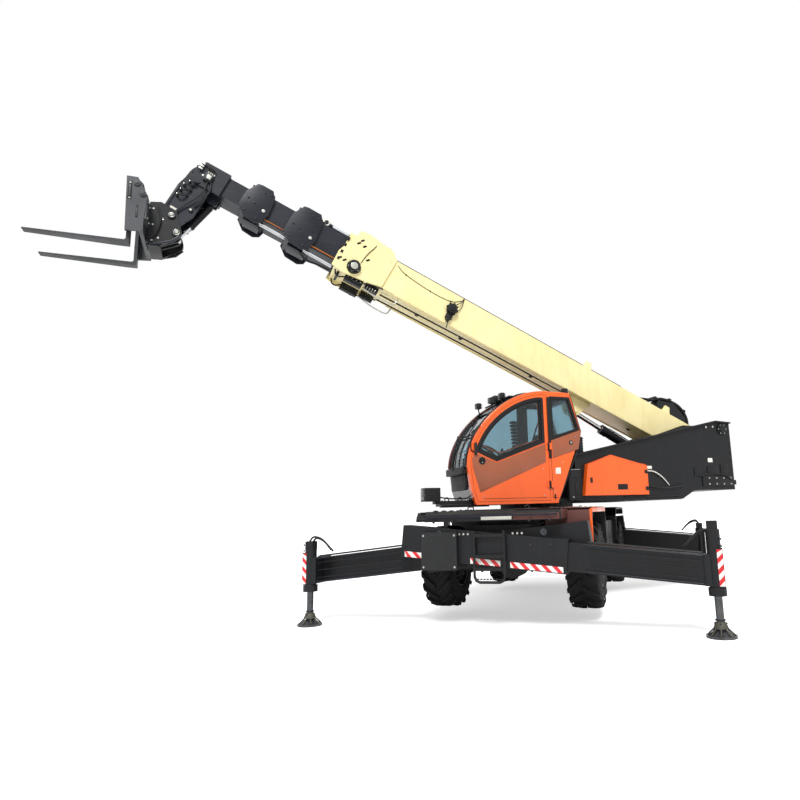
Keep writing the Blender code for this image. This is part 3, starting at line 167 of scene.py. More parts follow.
finishes = {
    # two-pack enamel sprayed on welded plate: glossy, faintly mottled, dusty on top, rust-brown at chips
    "creamEnamel": {"colour": "#F4E6AC", "faded": "#EBDA9C", "streak": "#A9976A", "streakShare": 0.22,
        "dust": "#C9BC94",
                    "worn": "#8C7A50", "rough": (0.28, 0.45), "coat": 0.25},
    "orangeEnamel": {"colour": "#F5600A", "faded": "#EC5A0A", "streak": "#B4541C", "streakShare": 0.18,
        "dust": "#D9A47C",
                     "dustShare": 0.12, "worn": "#B5592A", "rough": (0.22, 0.38), "coat": 0.4},
    # painted shadow: orange paint darkened to brown, standing for the orange cab side in shadow
    "paintedShadowBrown": {"colour": "#9A5232", "faded": "#8E4A2C", "streak": "#7A452C", "streakShare": 0.3,
        "rough": (0.3, 0.45),
                    "worn": "#7E4A30", "coat": 0.2},
    # painted shade: the orange fender paint darkened to red-brown as if in shade
    "paintedShadeRed": {"colour": "#5A2A22", "faded": "#4A241E", "streak": "#2A1713", "streakShare": 0.5,
        "dust": "#6E5A4E",
                  "rough": (0.45, 0.65), "worn": "#8A5A48"},
    # satin navy on the telescoping sections: long grease smears and rub lines along the boom
    "navyEnamel": {"colour": "#0B0F1A", "faded": "#10141F", "streak": "#262A33", "streakMm": 60,
        "streakShare": 0.5,
                   "streakWay": (0.12, 1, 1), "dust": "#24272D", "worn": "#4A4E56", "rough": (0.32,
                       0.5), "specular": 0.35},
    # black chassis enamel: scuffed, with road dust on what faces up
    "blackEnamel": {"colour": "#07080B", "faded": "#0C0E12", "streak": "#1C1D20", "streakShare": 0.35,
        "dust": "#2A2926",
                    "dustShare": 0.3, "worn": "#4A4C4E", "rough": (0.38, 0.6), "specular": 0.35},
    "greyEnamel": {"colour": "#3C3E42", "faded": "#303236", "streak": "#1E2024", "streakShare": 0.4,
        "dust": "#4A4944",
                   "worn": "#77787A", "rough": (0.4, 0.6)},
    "forgedSteel": {"colour": "#35373A", "faded": "#2B2D2F", "streak": "#1A1B1D", "streakShare": 0.5,
        "worn": "#A0A2A4",
                    "rough": (0.4, 0.62), "metallic": 0.35, "grainMm": 5, "bump": 0.3},
    "castIron": {"colour": "#141517", "faded": "#1C1C1C", "streak": "#2C2620", "streakShare": 0.5,
        "dust": "#5A544A",
                 "rough": (0.6, 0.8), "grainMm": 4, "bump": 0.6},
    # hard chrome: near mirror, with a film of oil
    "hardChrome": {"colour": "#D3D6D8", "faded": "#BFC3C6", "rough": (0.10, 0.24), "metallic": 1.0,
        "bump": 0.03,
                   "grainMm": 3, "patchMm": 90, "edgeMm": 2},
    # worn jack stems: ground steel with an oily grey film
    "jackSteel": {"colour": "#5C5E60", "faded": "#47494B", "streak": "#2A2A2A", "streakShare": 0.4,
        "rough": (0.22, 0.4),
                  "metallic": 0.8, "bump": 0.05, "patchMm": 90, "edgeMm": 2},
    "zincPlate": {"colour": "#C9C9C2", "faded": "#A7A79E", "rough": (0.25, 0.45), "metallic": 1.0,
        "bump": 0.08,
                  "grainMm": 3, "patchMm": 40, "edgeMm": 1},
    # galvanised feet, scraped and muddy
    "galvanisedFoot": {"colour": "#55554B", "faded": "#434238", "streak": "#2E2A20", "streakShare": 0.5,
        "dust": "#5E584A",
                       "worn": "#85857C", "rough": (0.5,
                           0.75), "metallic": 0.25, "grainMm": 6, "bump": 0.4},
    "tyreRubber": {"colour": "#0D0D0D", "faded": "#151413", "streak": "#23211E", "streakShare": 0.45,
        "dust": "#2C2924",
                   "rough": (0.75, 0.92), "specular": 0.3, "grainMm": 5, "bump": 0.5, "edgeMm": 6},
    "rimEnamel": {"colour": "#101216", "faded": "#16181B", "streak": "#3B3833", "streakShare": 0.4,
        "worn": "#5E5E5C",
                  "rough": (0.4, 0.6), "edgeMm": 3},
    "hoseRubber": {"colour": "#151617", "faded": "#222325", "rough": (0.5, 0.7), "specular": 0.35,
        "grainMm": 2, "bump": 0.3,
                   "edgeMm": 1},
    "sealRubber": {"colour": "#0E0F10", "faded": "#161718", "rough": (0.5, 0.65), "specular": 0.3,
        "edgeMm": 1, "grainMm": 3},
    "grainedPlastic": {"colour": "#0E0F11", "faded": "#151618", "rough": (0.5, 0.65), "grainMm": 2,
        "bump": 0.45,
                       "specular": 0.35, "edgeMm": 3},
    "seatVinyl": {"colour": "#26282B", "faded": "#1E2022", "rough": (0.55, 0.72), "grainMm": 3,
        "bump": 0.5, "edgeMm": 2},
    "reflectiveRed": {"colour": "#D8242C", "faded": "#C01E26", "rough": (0.3, 0.4), "edgeMm": 1},
    "reflectiveWhite": {"colour": "#F2F1EC", "faded": "#DEDBD2", "rough": (0.3, 0.4), "edgeMm": 1},
    "blankLabel": {"colour": "#ECEAE2", "faded": "#D8D5CA", "rough": (0.35, 0.5), "edgeMm": 1},
    "orangeHose": {"colour": "#B4651E", "faded": "#8F5220", "rough": (0.5, 0.65), "edgeMm": 1,
        "grainMm": 2},
}
finish = {name: makeFinish(name, look) for name, look in finishes.items()}


def makeGlass(name, colour, roughness):
    material, tree, shader = newMaterial(name)
    shader.inputs["Base Color"].default_value = linear(colour)
    shader.inputs["Transmission Weight"].default_value = 1.0
    shader.inputs["Roughness"].default_value = roughness
    shader.inputs["IOR"].default_value = 1.45
    coords = addNode(tree, "ShaderNodeTexCoord").outputs["Object"]
    smears = noiseShare(tree, coords, 220, 0.45, 0.75)
    dusty = addNode(tree, "ShaderNodeMapRange", {"To Min": roughness, "To Max": roughness + 0.06},
        {"Value": smears})
    tree.links.new(dusty.outputs[0], shader.inputs["Roughness"])
    return material


finish["tintedGlass"] = makeGlass("tintedGlass", "#A9C3CC", 0.01)  # toughened glass with a blue-grey tint
finish["lampGlass"] = makeGlass("lampGlass", "#E9EEF0", 0.05)  # clear polycarbonate lens
print("materials:", len(finish))


# Bevels a closed shape and adds it to the part with one material slot.
def addMesh(shape, part, slot, bevelBy=0.0):
    if bevelBy:
        sharp = [edge for edge in shape.edges if len(edge.link_faces) == 2 and edge.calc_face_angle() > 0.6]
        bmesh.ops.bevel(shape, geom=sharp, offset=bevelBy, segments=2, profile=0.6, affect="EDGES",
                        clamp_overlap=True)
    bmesh.ops.recalc_face_normals(shape, faces=shape.faces)
    for face in shape.faces:
        face.material_index = slot
        face.smooth = True
    carrier = bpy.data.meshes.new("carrier")
    shape.to_mesh(carrier)
    shape.free()
    part.from_mesh(carrier)
    bpy.data.meshes.remove(carrier)


# A bevelled block between pairs of x, y and z, turned about its middle.
def block(part, x, y, z, slot=0, bevelBy=0.003, turn=None):
    shape = bmesh.new()
    bmesh.ops.create_cube(shape, size=1)
    size = Vector((abs(x[1] - x[0]), abs(y[1] - y[0]), abs(z[1] - z[0])))
    middle = Vector((x[0] + x[1], y[0] + y[1], z[0] + z[1])) / 2
    matrix = Matrix.Translation(middle) @ (turn or Matrix.Identity(4)) @ Matrix.Diagonal((*size, 1))
    shape.transform(matrix)
    addMesh(shape, part, slot, min(bevelBy, 0.3 * min(size)))


# A round bar or cone with eased ends.
def barrel(part, start, end, radius, slot=0, sides=24, endRadius=None, bevelBy=0.002):
    start, end = Vector(start), Vector(end)
    along = end - start
    shape = bmesh.new()
    top = radius if endRadius is None else endRadius
    bmesh.ops.create_cone(shape, cap_ends=True, segments=sides, radius1=radius, radius2=top,
        depth=along.length)
    shape.transform(Matrix.Translation(start + along / 2)
                    @ Vector((0, 0, 1)).rotation_difference(along).to_matrix().to_4x4())
    addMesh(shape, part, slot, bevelBy)


# A hex head on its washer, standing on a face.
def bolt(part, at, way, size=0.012, slot=0):
    at, way = Vector(at), Vector(way).normalized()
    barrel(part, at - way * 0.001, at + way * size * 0.25, size * 1.15, slot, 16, bevelBy=0)
    barrel(part, at, at + way * size * 0.85, size * 0.9, slot, 6, bevelBy=size * 0.1)


# A smooth curve through the points.
def smoothPath(points, steps=6):
    points = [Vector(p) for p in points]
    if len(points) < 3:
        return points
    ends = [2 * points[0] - points[1]] + points + [2 * points[-1] - points[-2]]
    path = []
    for a, b, c, d in zip(ends, ends[1:], ends[2:], ends[3:]):
        for step in range(steps):
            t = step / steps
            path.append(0.5 * (2 * b + (c - a) * t + (2 * a - 5 * b + 4 * c - d) * t * t
                               + (3 * b - a - 3 * c + d) * t ** 3))
    return path + [points[-1]]


# A hose or bent tube through the points, with closed ends.
def pipe(part, points, radius, slot=0, sides=10, steps=6):
    path = smoothPath(points, steps)
    shape = bmesh.new()
    rings = []
    side = None
    for index, at in enumerate(path):
        ahead = (path[min(index + 1, len(path) - 1)] - path[max(index - 1, 0)]).normalized()
        if side is None:
            side = ahead.orthogonal().normalized()
        side = (side - ahead * side.dot(ahead)).normalized()
        other = ahead.cross(side)
        rings.append([shape.verts.new(at + radius * (side * math.cos(a) + other * math.sin(a)))
                      for a in (2 * math.pi * k / sides for k in range(sides))])
    for ring, following in zip(rings, rings[1:]):
        for k in range(sides):
            shape.faces.new((ring[k], ring[(k + 1) % sides], following[(k + 1) % sides], following[k]))
    shape.faces.new(rings[0][::-1])
    shape.faces.new(rings[-1])
    addMesh(shape, part, slot)


# A flat outline of (x, z) points between two levels of y.
def plate(part, outline, y, slot=0, bevelBy=0.003):
    shape = bmesh.new()
    face = shape.faces.new([shape.verts.new((px, y[0], pz)) for px, pz in outline])
    grown = bmesh.ops.extrude_face_region(shape, geom=[face])
    moved = [item for item in grown["geom"] if isinstance(item, bmesh.types.BMVert)]
    bmesh.ops.translate(shape, verts=moved, vec=(0, y[1] - y[0], 0))
    addMesh(shape, part, slot, min(bevelBy, abs(y[1] - y[0]) * 0.4))


# A ring about the given way.
def torus(part, centre, way, major, minor, slot=0, around=40, across=10):
    turn = Vector((0, 0, 1)).rotation_difference(Vector(way)).to_matrix().to_4x4()
    shape = bmesh.new()
    rings = []
    for i in range(around):
        a = 2 * math.pi * i / around
        out = Vector((math.cos(a), math.sin(a), 0))
        rings.append([shape.verts.new(out * (major + minor * math.cos(b)) + Vector((0, 0,
            minor * math.sin(b))))
                      for b in (2 * math.pi * k / across for k in range(across))])
    for i in range(around):
        ring, following = rings[i], rings[(i + 1) % around]
        for k in range(across):
            shape.faces.new((ring[k], following[k], following[(k + 1) % across], ring[(k + 1) % across]))
    shape.transform(Matrix.Translation(centre) @ turn)
    addMesh(shape, part, slot)


# A flat band between an outline and its inner copy, such as a window seal.
def frameStrip(part, outline, inner, y, slot=0):
    shape = bmesh.new()
    count = len(outline)
    loops = []
    for line, level in ((outline, y[0]), (outline, y[1]), (inner, y[1]), (inner, y[0])):
        loops.append([shape.verts.new((px, level, pz)) for px, pz in line])
    for first, second in zip(loops, loops[1:] + loops[:1]):
        for k in range(count):
            shape.faces.new((first[k], first[(k + 1) % count], second[(k + 1) % count], second[k]))
    addMesh(shape, part, slot, min(0.002, abs(y[1] - y[0]) * 0.3))


# The outline of (x, z) points moved in by depth on every side.
def drawnIn(outline, depth):
    area = sum(a[0] * b[1] - b[0] * a[1] for a, b in zip(outline, outline[1:] + outline[:1]))
    sense = 1 if area > 0 else -1
    drawn = []
    for index, here in enumerate(outline):
        here = Vector(here)
        into = (here - Vector(outline[index - 1])).normalized()
        out = (Vector(outline[(index + 1) % len(outline)]) - here).normalized()
        first = Vector((-into.y, into.x)) * sense
        middle = (first + Vector((-out.y, out.x)) * sense).normalized()
        drawn.append(tuple(here + middle * depth / max(0.35, middle.dot(first))))
    return drawn


# A strip of slanted red and white stripes between two points of its middle line.
def hazardTape(part, start, end, across, normal, stripe=0.09, redSlot=0, whiteSlot=1):
    start, end, across, normal = Vector(start), Vector(end), Vector(across), Vector(normal).normalized()
    along = (end - start).normalized()
    length = (end - start).length
    slant = across.length
    count = math.ceil((length + slant) / stripe)
    for index in range(count):
        lows = [max(0, min(length, index * stripe - slant)),
            max(0, min(length, (index + 1) * stripe - slant))]
        highs = [max(0, min(length, index * stripe)), max(0, min(length, (index + 1) * stripe))]
        if lows[1] - lows[0] < 1e-4 and highs[1] - highs[0] < 1e-4:
            continue
        base = normal * 0.0015
        shape = bmesh.new()
        corners4 = [start + along * lows[0] - across / 2, start + along * lows[1] - across / 2,
                    start + along * highs[1] + across / 2, start + along * highs[0] + across / 2]
        kept = []
        for corner in corners4:
            if not kept or (corner - kept[-1]).length > 1e-4:
                kept.append(corner)
        if (kept[0] - kept[-1]).length < 1e-4:
            kept.pop()
        if len(kept) < 3:
            shape.free()
            continue
        top = [shape.verts.new(c + base) for c in kept]
        low = [shape.verts.new(c) for c in kept]
        shape.faces.new(top)
        shape.faces.new(low[::-1])
        for k in range(len(kept)):
            shape.faces.new((top[k - 1], low[k - 1], low[k], top[k]))
        addMesh(shape, part, redSlot if index % 2 else whiteSlot)


# Turns a mesh in progress to an object in the machine's frame, riding on a body.
def finishPiece(name, part, where, body, materials, replaced=()):
    part.transform(where)
    mesh = bpy.data.meshes.new(name)
    part.to_mesh(mesh)
    part.free()
    mesh.set_sharp_from_angle(angle=math.radians(38))
    for label in materials:
        mesh.materials.append(finish[label])
    piece = bpy.data.objects.new(name, mesh)
    bpy.context.scene.collection.objects.link(piece)
    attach(piece, body)
    if replaced:
        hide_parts(*replaced)
    return piece


finishOfNode = [
    ("boom_base", "creamEnamel"), ("boom_", "navyEnamel"), ("side_cover", "orangeEnamel"), ("cab_door",
        "orangeEnamel"),
    ("engine_housing", "orangeEnamel"), ("engine_lid", "orangeEnamel"), ("engine_block", "castIron"),
    ("door_glass", "tintedGlass"), ("quarter_glass", "tintedGlass"), ("right_glass", "tintedGlass"),
    ("windscreen", "tintedGlass"), ("rear_glass", "tintedGlass"), ("wheel_", "tyreRubber"),
    ("lift_rod", "hardChrome"), ("tilt_rod", "hardChrome"), ("fork_carriage", "greyEnamel"), ("fork_",
        "forgedSteel"),
    ("axle_", "castIron"), ("knuckle_", "castIron"), ("jack_mat", "hoseRubber"), ("jack_", "jackSteel"),
    ("seat_", "seatVinyl"), ("dash_", "grainedPlastic"), ("battery_box", "grainedPlastic"), ("slew_ring",
        "castIron"),
    ("", "blackEnamel"),
]
for nodeName, node in nodes.items():
    chosen = next(label for start, label in finishOfNode if nodeName.startswith(start))
    node.data.materials.clear()
    node.data.materials.append(finish[chosen])


# Orange on the cab's near side and its rim, black on its front, top and inside.
def makeCabSkin():
    cab = nodes["cab_shell"]
    skin = finish["orangeEnamel"].copy()
    skin.name = "cabEnamel"  # orange side panels on a black cage
    tree = skin.node_tree
    shader = tree.nodes["Principled BSDF"]
    orange = shader.inputs["Base Color"].links[0].from_socket
    coords = addNode(tree, "ShaderNodeTexCoord").outputs["Object"]
    parts = addNode(tree, "ShaderNodeSeparateXYZ", {}, {0: coords})
    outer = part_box("cab_shell")[0].y
    side = addNode(tree, "ShaderNodeMath", {"operation": "GREATER_THAN", 1: outer + 0.115},
        {0: parts.outputs[1]})
    tree.links.new(mixColour(tree, side.outputs[0], orange, "#121316"), shader.inputs["Base Color"])
    cab.data.materials.clear()
    cab.data.materials.append(skin)


makeCabSkin()
print("finishes on", len(nodes), "CAD nodes")


boomLook = {"half": 0.30, "top": 0.1975, "bottom": -0.3475, "cheek": 0.33,
            "boss": (6.86, -0.284), "bossRadius": 0.115,
            "slots": [(6.955, 0.130), (6.853, 0.124), (7.115, -0.247), (7.035, -0.250), (6.713, -0.059),
                (6.922, 0.20)],
            "lampAt": (5.15, -0.10), "seams": [(6.25, 0.13), (6.07, 0.057), (5.6, 0.01), (5.22, 0.03),
                (5.03, 0.15)]}


# Bosses, slots, welds and bolts on both cheeks of the boom's head.
def boomHead():
    look = boomLook
    part = bmesh.new()
    bx, bz = look["boss"]
    for side in (1, -1):
        y = side * look["cheek"]
        barrel(part, (bx, y, bz), (bx, y + side * 0.055, bz), look["bossRadius"], 1, 40,
            look["bossRadius"] * 0.88, 0.006)
        torus(part, (bx, y + side * 0.055, bz), (0, 1, 0), look["bossRadius"] * 0.72, 0.012, 1)
        barrel(part, (bx, y + side * 0.05, bz), (bx, y + side * 0.072, bz), 0.058, 2, 28, bevelBy=0.006)
        for k in range(6):
            a = math.pi * (2 * k + 1) / 6
            bolt(part, (bx + 0.09 * math.cos(a), y + side * 0.053, bz + 0.09 * math.sin(a)),
                (0, side, 0), 0.009, 2)
        for sx, sz in look["slots"]:
            for step in range(3):
                barrel(part, (sx - 0.012 + step * 0.012, y - side * 0.001, sz + 0.014 - step * 0.014),
                       (sx - 0.012 + step * 0.012, y + side * 0.002,
                           sz + 0.014 - step * 0.014), 0.017, 3, 18, bevelBy=0)
        pipe(part, [(6.79, y + side * 0.004, -0.16), (6.76, y + side * 0.008, 0.02),
            (6.70, y + side * 0.006, 0.20),
                    (6.69, y - side * 0.02, 0.29)], 0.006, 3)
        for wx, wz in ((6.42, -0.33), (6.38, 0.12), (6.60, -0.40)):
            block(part, (wx - 0.02, wx + 0.02), (y - side * 0.01, y + side * 0.006),
                (wz - 0.02, wz + 0.02), 0)
    return finishPiece("boom_head_fittings", part, boomFrame, "boom",
        ["creamEnamel", "blackEnamel", "zincPlate", "sealRubber"])


# Lifting eyes along the boom's top, with their holes.
def boomLugs():
    part = bmesh.new()
    y = boomLook["half"] - 0.034
    for x, z in ((6.49, 0.300), (2.44, 0.265), (0.60, 0.265)):
        torus(part, (x, y, z), (0, 1, 0), 0.046, 0.016, 0, 32, 10)
        barrel(part, (x, y - 0.004, z), (x, y + 0.004, z), 0.030, 1, 24, bevelBy=0)
        plate(part, [(x - 0.10, boomLook["top"] - 0.02), (x + 0.12, boomLook["top"] - 0.02),
            (x + 0.055, z + 0.01),
                     (x - 0.055, z + 0.01)], (y - 0.019, y + 0.019), 0)
    return finishPiece("boom_lifting_eyes", part, boomFrame, "boom", ["creamEnamel", "sealRubber"])


# Cable reel box on the boom's side with the cables that run to it.
def boomSideLamp():
    look = boomLook
    part = bmesh.new()
    y = look["half"]
    x, z = look["lampAt"]
    barrel(part, (x, y, z), (x, y + 0.02, z), 0.075, 0, 32)
    barrel(part, (x, y + 0.02, z), (x, y + 0.10, z), 0.092, 0, 32, 0.080, 0.008)
    barrel(part, (x, y + 0.10, z), (x, y + 0.118, z), 0.045, 1, 24, bevelBy=0.005)
    for k in range(8):
        a = math.pi * k / 4
        block(part, (x + 0.09 * math.cos(a) - 0.014, x + 0.09 * math.cos(a) + 0.014), (y + 0.03, y + 0.085),
              (z + 0.09 * math.sin(a) - 0.014, z + 0.09 * math.sin(a) + 0.014), 0)
    block(part, (x - 0.06, x + 0.055), (y, y + 0.05), (z - 0.185, z - 0.07), 0, 0.008)
    block(part, (x - 0.03, x + 0.03), (y + 0.02, y + 0.075), (z - 0.235, z - 0.16), 0, 0.006)
    pipe(part, [(x - 0.01, y + 0.04, z - 0.22), (x - 0.03, y + 0.03, z - 0.29),
        (x - 0.04, y + 0.008, z - 0.34)], 0.008, 1)
    pipe(part, [(x - 0.02, y + 0.05, z + 0.08), (x - 0.10, y + 0.025, z + 0.19),
        (x - 0.13, y + 0.01, z + 0.30)], 0.007, 1)
    pipe(part, [(x - 0.06, y + 0.04, z - 0.08), (x - 0.14, y + 0.02, z + 0.10),
        (x - 0.13, y + 0.01, z + 0.30)], 0.006, 1)
    pipe(part, [(sx, y + 0.005, sz) for sx, sz in look["seams"]], 0.005, 1)
    for sx, sz in look["seams"][1:-1]:
        block(part, (sx - 0.012, sx + 0.012), (y, y + 0.012), (sz - 0.010, sz + 0.010), 1)
    return finishPiece("boom_cable_box", part, boomFrame, "boom", ["grainedPlastic", "sealRubber"])


# Valves, hooks, springs and pipes hung under the boom's head, and the edge flanges behind.
def boomUnderside():
    part = bmesh.new()
    low = boomLook["bottom"]
    for side in (1, -1):
        y = side * 0.20
        block(part, (6.62, 6.92), (y - 0.05, y + 0.05), (low - 0.155, low - 0.04), 0, 0.008)
        block(part, (6.35, 6.58), (y - 0.04, y + 0.04), (low - 0.12, low - 0.02), 0, 0.008)
        for k in range(5):
            torus(part, (6.40 + k * 0.045, y + side * 0.05, low - 0.10), (1, 0, 0), 0.022, 0.006, 1, 20, 8)
        pipe(part, [(6.60, y, low - 0.12), (6.40, y + side * 0.02, low - 0.155),
            (6.22, y + side * 0.04, low - 0.16),
                    (6.05, y + side * 0.04, low - 0.145), (6.01, y + side * 0.03, low - 0.02)], 0.011, 1)
        pipe(part, [(6.92, y - side * 0.02, low - 0.09), (6.99, y, low - 0.14), (7.06, y, low - 0.13),
            (7.10, y, low - 0.06)], 0.012, 2)
        pipe(part, [(6.86, y + side * 0.04, low - 0.10), (6.70, y + side * 0.09, low - 0.13),
            (6.52, y + side * 0.08, low - 0.05),
                    (6.30, y + side * 0.075, low - 0.01)], 0.010, 2)
        block(part, (0.3, 6.1), (side * 0.285, side * 0.298), (low - 0.014, low + 0.002), 3)
        for k in range(4):
            bolt(part, (6.66 + 0.07 * k, y + side * 0.05, low - 0.08), (0, side, 0), 0.010, 1)
    for x in (1.1, 3.3, 4.75, 5.6):
        block(part, (x - 0.03, x + 0.03), (-0.02, 0.02), (low - 0.02, low + 0.002), 0)
    pipe(part, [(2.6, 0.12, low - 0.03), (3.3, 0.12, low - 0.032), (4.5, 0.12, low - 0.03),
        (6.3, 0.12, low - 0.05)], 0.014, 2)
    pipe(part, [(2.6, -0.12, low - 0.03), (3.3, -0.12, low - 0.032), (4.5, -0.12, low - 0.03),
        (6.3, -0.12, low - 0.05)], 0.014, 2)
    return finishPiece("boom_underside_hydraulics", part, boomFrame, "boom",
                       ["blackEnamel", "zincPlate", "hoseRubber", "creamEnamel"])


# Hoses laid in the channel on the boom's top, their clamps and the bundle at the rear.
def boomTray():
    part = bmesh.new()
    top = boomLook["top"] + 0.112
    for k in range(7):
        y = -0.225 + 0.038 * k
        wave = [(0.45 + 0.72 * i, y + 0.004 * math.sin(i * 1.7 + k),
            top + 0.014 + 0.003 * math.sin(i + k)) for i in range(9)]
        pipe(part, wave, 0.015, 0, 8, 3)
    for x in (0.9, 2.1, 3.3, 4.5, 5.7):
        block(part, (x - 0.03, x + 0.03), (-0.25, 0.02), (top + 0.024, top + 0.036), 1)
        bolt(part, (x, -0.235, top + 0.036), (0, 0, 1), 0.009, 2)
        bolt(part, (x, 0.005, top + 0.036), (0, 0, 1), 0.009, 2)
    for k in range(6):
        y = -0.19 + 0.034 * k
        pipe(part, [(1.05, y, top + 0.03), (0.78, y, top + 0.14), (0.55, y, top + 0.27),
            (0.20, y, top + 0.31),
                    (-0.05, y, top + 0.20), (-0.17, y, top + 0.02), (-0.20, y,
                        top - 0.16)], 0.021, 0, 10, 5)
    for x, z in ((0.72, 0.19), (0.40, 0.305), (0.02, 0.245)):
        block(part, (x - 0.03, x + 0.03), (-0.22, 0.01), (top + z - 0.01, top + z + 0.035), 1)
    pipe(part, [(6.25, -0.10, top), (6.40, -0.08, top + 0.05), (6.52, -0.06, top + 0.02),
        (6.60, -0.05, top - 0.05)], 0.02, 0)
    pipe(part, [(6.25, -0.02, top - 0.02), (6.42, 0.06, top + 0.03), (6.56, 0.10, top - 0.02)], 0.016, 0)
    block(part, (6.56, 6.64), (0.02, 0.20), (boomLook["top"], top + 0.06), 1, 0.006)
    barrel(part, (6.60, 0.14, top + 0.05), (6.60, 0.14, top + 0.12), 0.018, 2, 12)
    for k in range(5):
        bolt(part, (6.60, 0.04 + 0.03 * k, top + 0.06), (0, 0, 1), 0.008, 2)
    return finishPiece("boom_hose_run", part, boomFrame, "boom", ["hoseRubber", "blackEnamel", "zincPlate"])


# name, node, half width, half height, collar start and end, body
collars = [
    ("base_nose", 0.30, 0.2725, 7.00, 7.14, "boom"),
    ("second", 0.26, 0.235, 7.60, 7.99, "section_2"),
    ("third", 0.225, 0.20, 8.38, 8.73, "section_3"),
]
boomCentre = -0.075


# Bolted cheek plates, wear pads and seams round a section's collar.
def sectionCollar(name, half, tall, start, end, body):
    part = bmesh.new()
    high, low = boomCentre + tall, boomCentre - tall
    for side in (1, -1):
        y = side * (half + 0.034)
        if body != "boom":
            plate(part, [(start - 0.05, low + 0.10), (start - 0.01, low - 0.075),
                (start + 0.08, low - 0.13),
                         (end - 0.09, low - 0.11), (end + 0.05, low + 0.02), (end + 0.045, high - 0.12),
                         (end - 0.05, high + 0.08), (end - 0.12, high + 0.095), (start + 0.06,
                             high + 0.095),
                         (start - 0.02, high - 0.02)],
                  (min(y, y + side * 0.014), max(y, y + side * 0.014)), 0)
            for px, pz in ((start + 0.05, high + 0.02), (start + 0.15, high + 0.0),
                    (end - 0.03, low + 0.20),
                           (end - 0.14, low + 0.17), (end - 0.06, low - 0.01), (start + 0.08, low - 0.05)):
                bolt(part, (px, y + side * 0.013, pz), (0, side, 0), 0.015, 0)
            barrel(part, (start + 0.04, y + side * 0.012, low + 0.11),
                (start + 0.04, y + side * 0.030, low + 0.11), 0.026, 1, 20)
        for k in range(4):
            z = low + 0.08 + (high - low - 0.16) * k / 3
            block(part, (end - 0.03, end + 0.012), (side * (half + 0.001), side * (half + 0.033)),
                (z - 0.028, z + 0.028), 2)
    for z in (high, low):
        sign = 1 if z > boomCentre else -1
        for k in range(3):
            y = (k - 1) * half * 0.62
            block(part, (end - 0.06, end + 0.014), (y - 0.05, y + 0.05),
                (z + sign * 0.002, z + sign * 0.034), 2)
            bolt(part, (end - 0.09, y, z + sign * 0.035), (0, 0, sign), 0.011, 1)
    block(part, (start + 0.02, end - 0.08), (-0.14, 0.14), (low - 0.10, low - 0.036), 0, 0.008)
    return finishPiece("collar_" + name, part, boomFrame, body, ["navyEnamel", "zincPlate", "sealRubber"])


# Chromed rods and stay tubes beside the sections.
def telescopeRods():
    part = bmesh.new()
    top = boomLook["top"]
    rodLevel = top + 0.0553
    barrel(part, (2.2, 0.12, rodLevel), (7.46, 0.12, rodLevel), 0.026, 0, 20)
    barrel(part, (7.44, 0.12, rodLevel), (7.50, 0.12, rodLevel), 0.034, 1, 20)
    torus(part, (7.55, 0.12, rodLevel + 0.02), (0, 1, 0), 0.048, 0.020, 3)
    barrel(part, (7.55, 0.09, rodLevel + 0.02), (7.55, 0.15, rodLevel + 0.02), 0.026, 1, 20)
    plate(part, [(7.55, rodLevel - 0.01), (7.60, 0.16), (7.96, 0.16), (7.90, 0.22), (7.66, 0.235)],
        (0.075, 0.098), 1)
    plate(part, [(7.55, rodLevel - 0.01), (7.60, 0.16), (7.96, 0.16), (7.90, 0.22), (7.66, 0.235)],
        (0.142, 0.165), 1)
    for y in (0.20, 0.14):
        barrel(part, (7.17, y, -0.385), (7.66, y, -0.375), 0.017, 0, 16)
    finishPiece("top_cylinder_rod", part, boomFrame, "section_2",
        ["hardChrome", "navyEnamel", "zincPlate", "blankLabel"])
    part = bmesh.new()
    for y in (0.19, 0.13):
        barrel(part, (7.98, y, -0.335), (8.44, y, -0.33), 0.017, 0, 16)
        barrel(part, (8.40, y, -0.33), (8.47, y, -0.33), 0.026, 1, 6)
    pipe(part, [(8.46, 0.235, -0.20), (8.42, 0.236, -0.255), (8.2, 0.236, -0.262),
        (8.03, 0.236, -0.262)], 0.008, 2)
    finishPiece("lower_stay_tubes", part, boomFrame, "section_3",
        ["hardChrome", "blackEnamel", "orangeHose"])
    part = bmesh.new()
    pipe(part, [(7.95, 0.27, -0.26), (7.72, 0.296, -0.30), (7.5, 0.27, -0.285), (7.16, 0.275, -0.29)],
        0.009, 0)
    pipe(part, [(7.70, 0.15, -0.42), (7.56, 0.10, -0.47), (7.40, 0.08, -0.44), (7.18, 0.08, -0.42)],
        0.015, 1)
    return finishPiece("section_hoses", part, boomFrame, "section_2", ["orangeHose", "hoseRubber"])


boomHead()
boomLugs()
boomSideLamp()
boomUnderside()
boomTray()
for row in collars:
    sectionCollar(*row)
telescopeRods()
print("boom dressed")


jibLook = {"cheek": 0.206, "fittings": [(9.545, -0.379), (9.548, -0.475), (9.552, -0.574), (9.50, -0.30)],
           "label": (9.50, -0.80), "pins": [(9.29, -0.687), (9.45, -0.92), (9.40, -0.10)]}


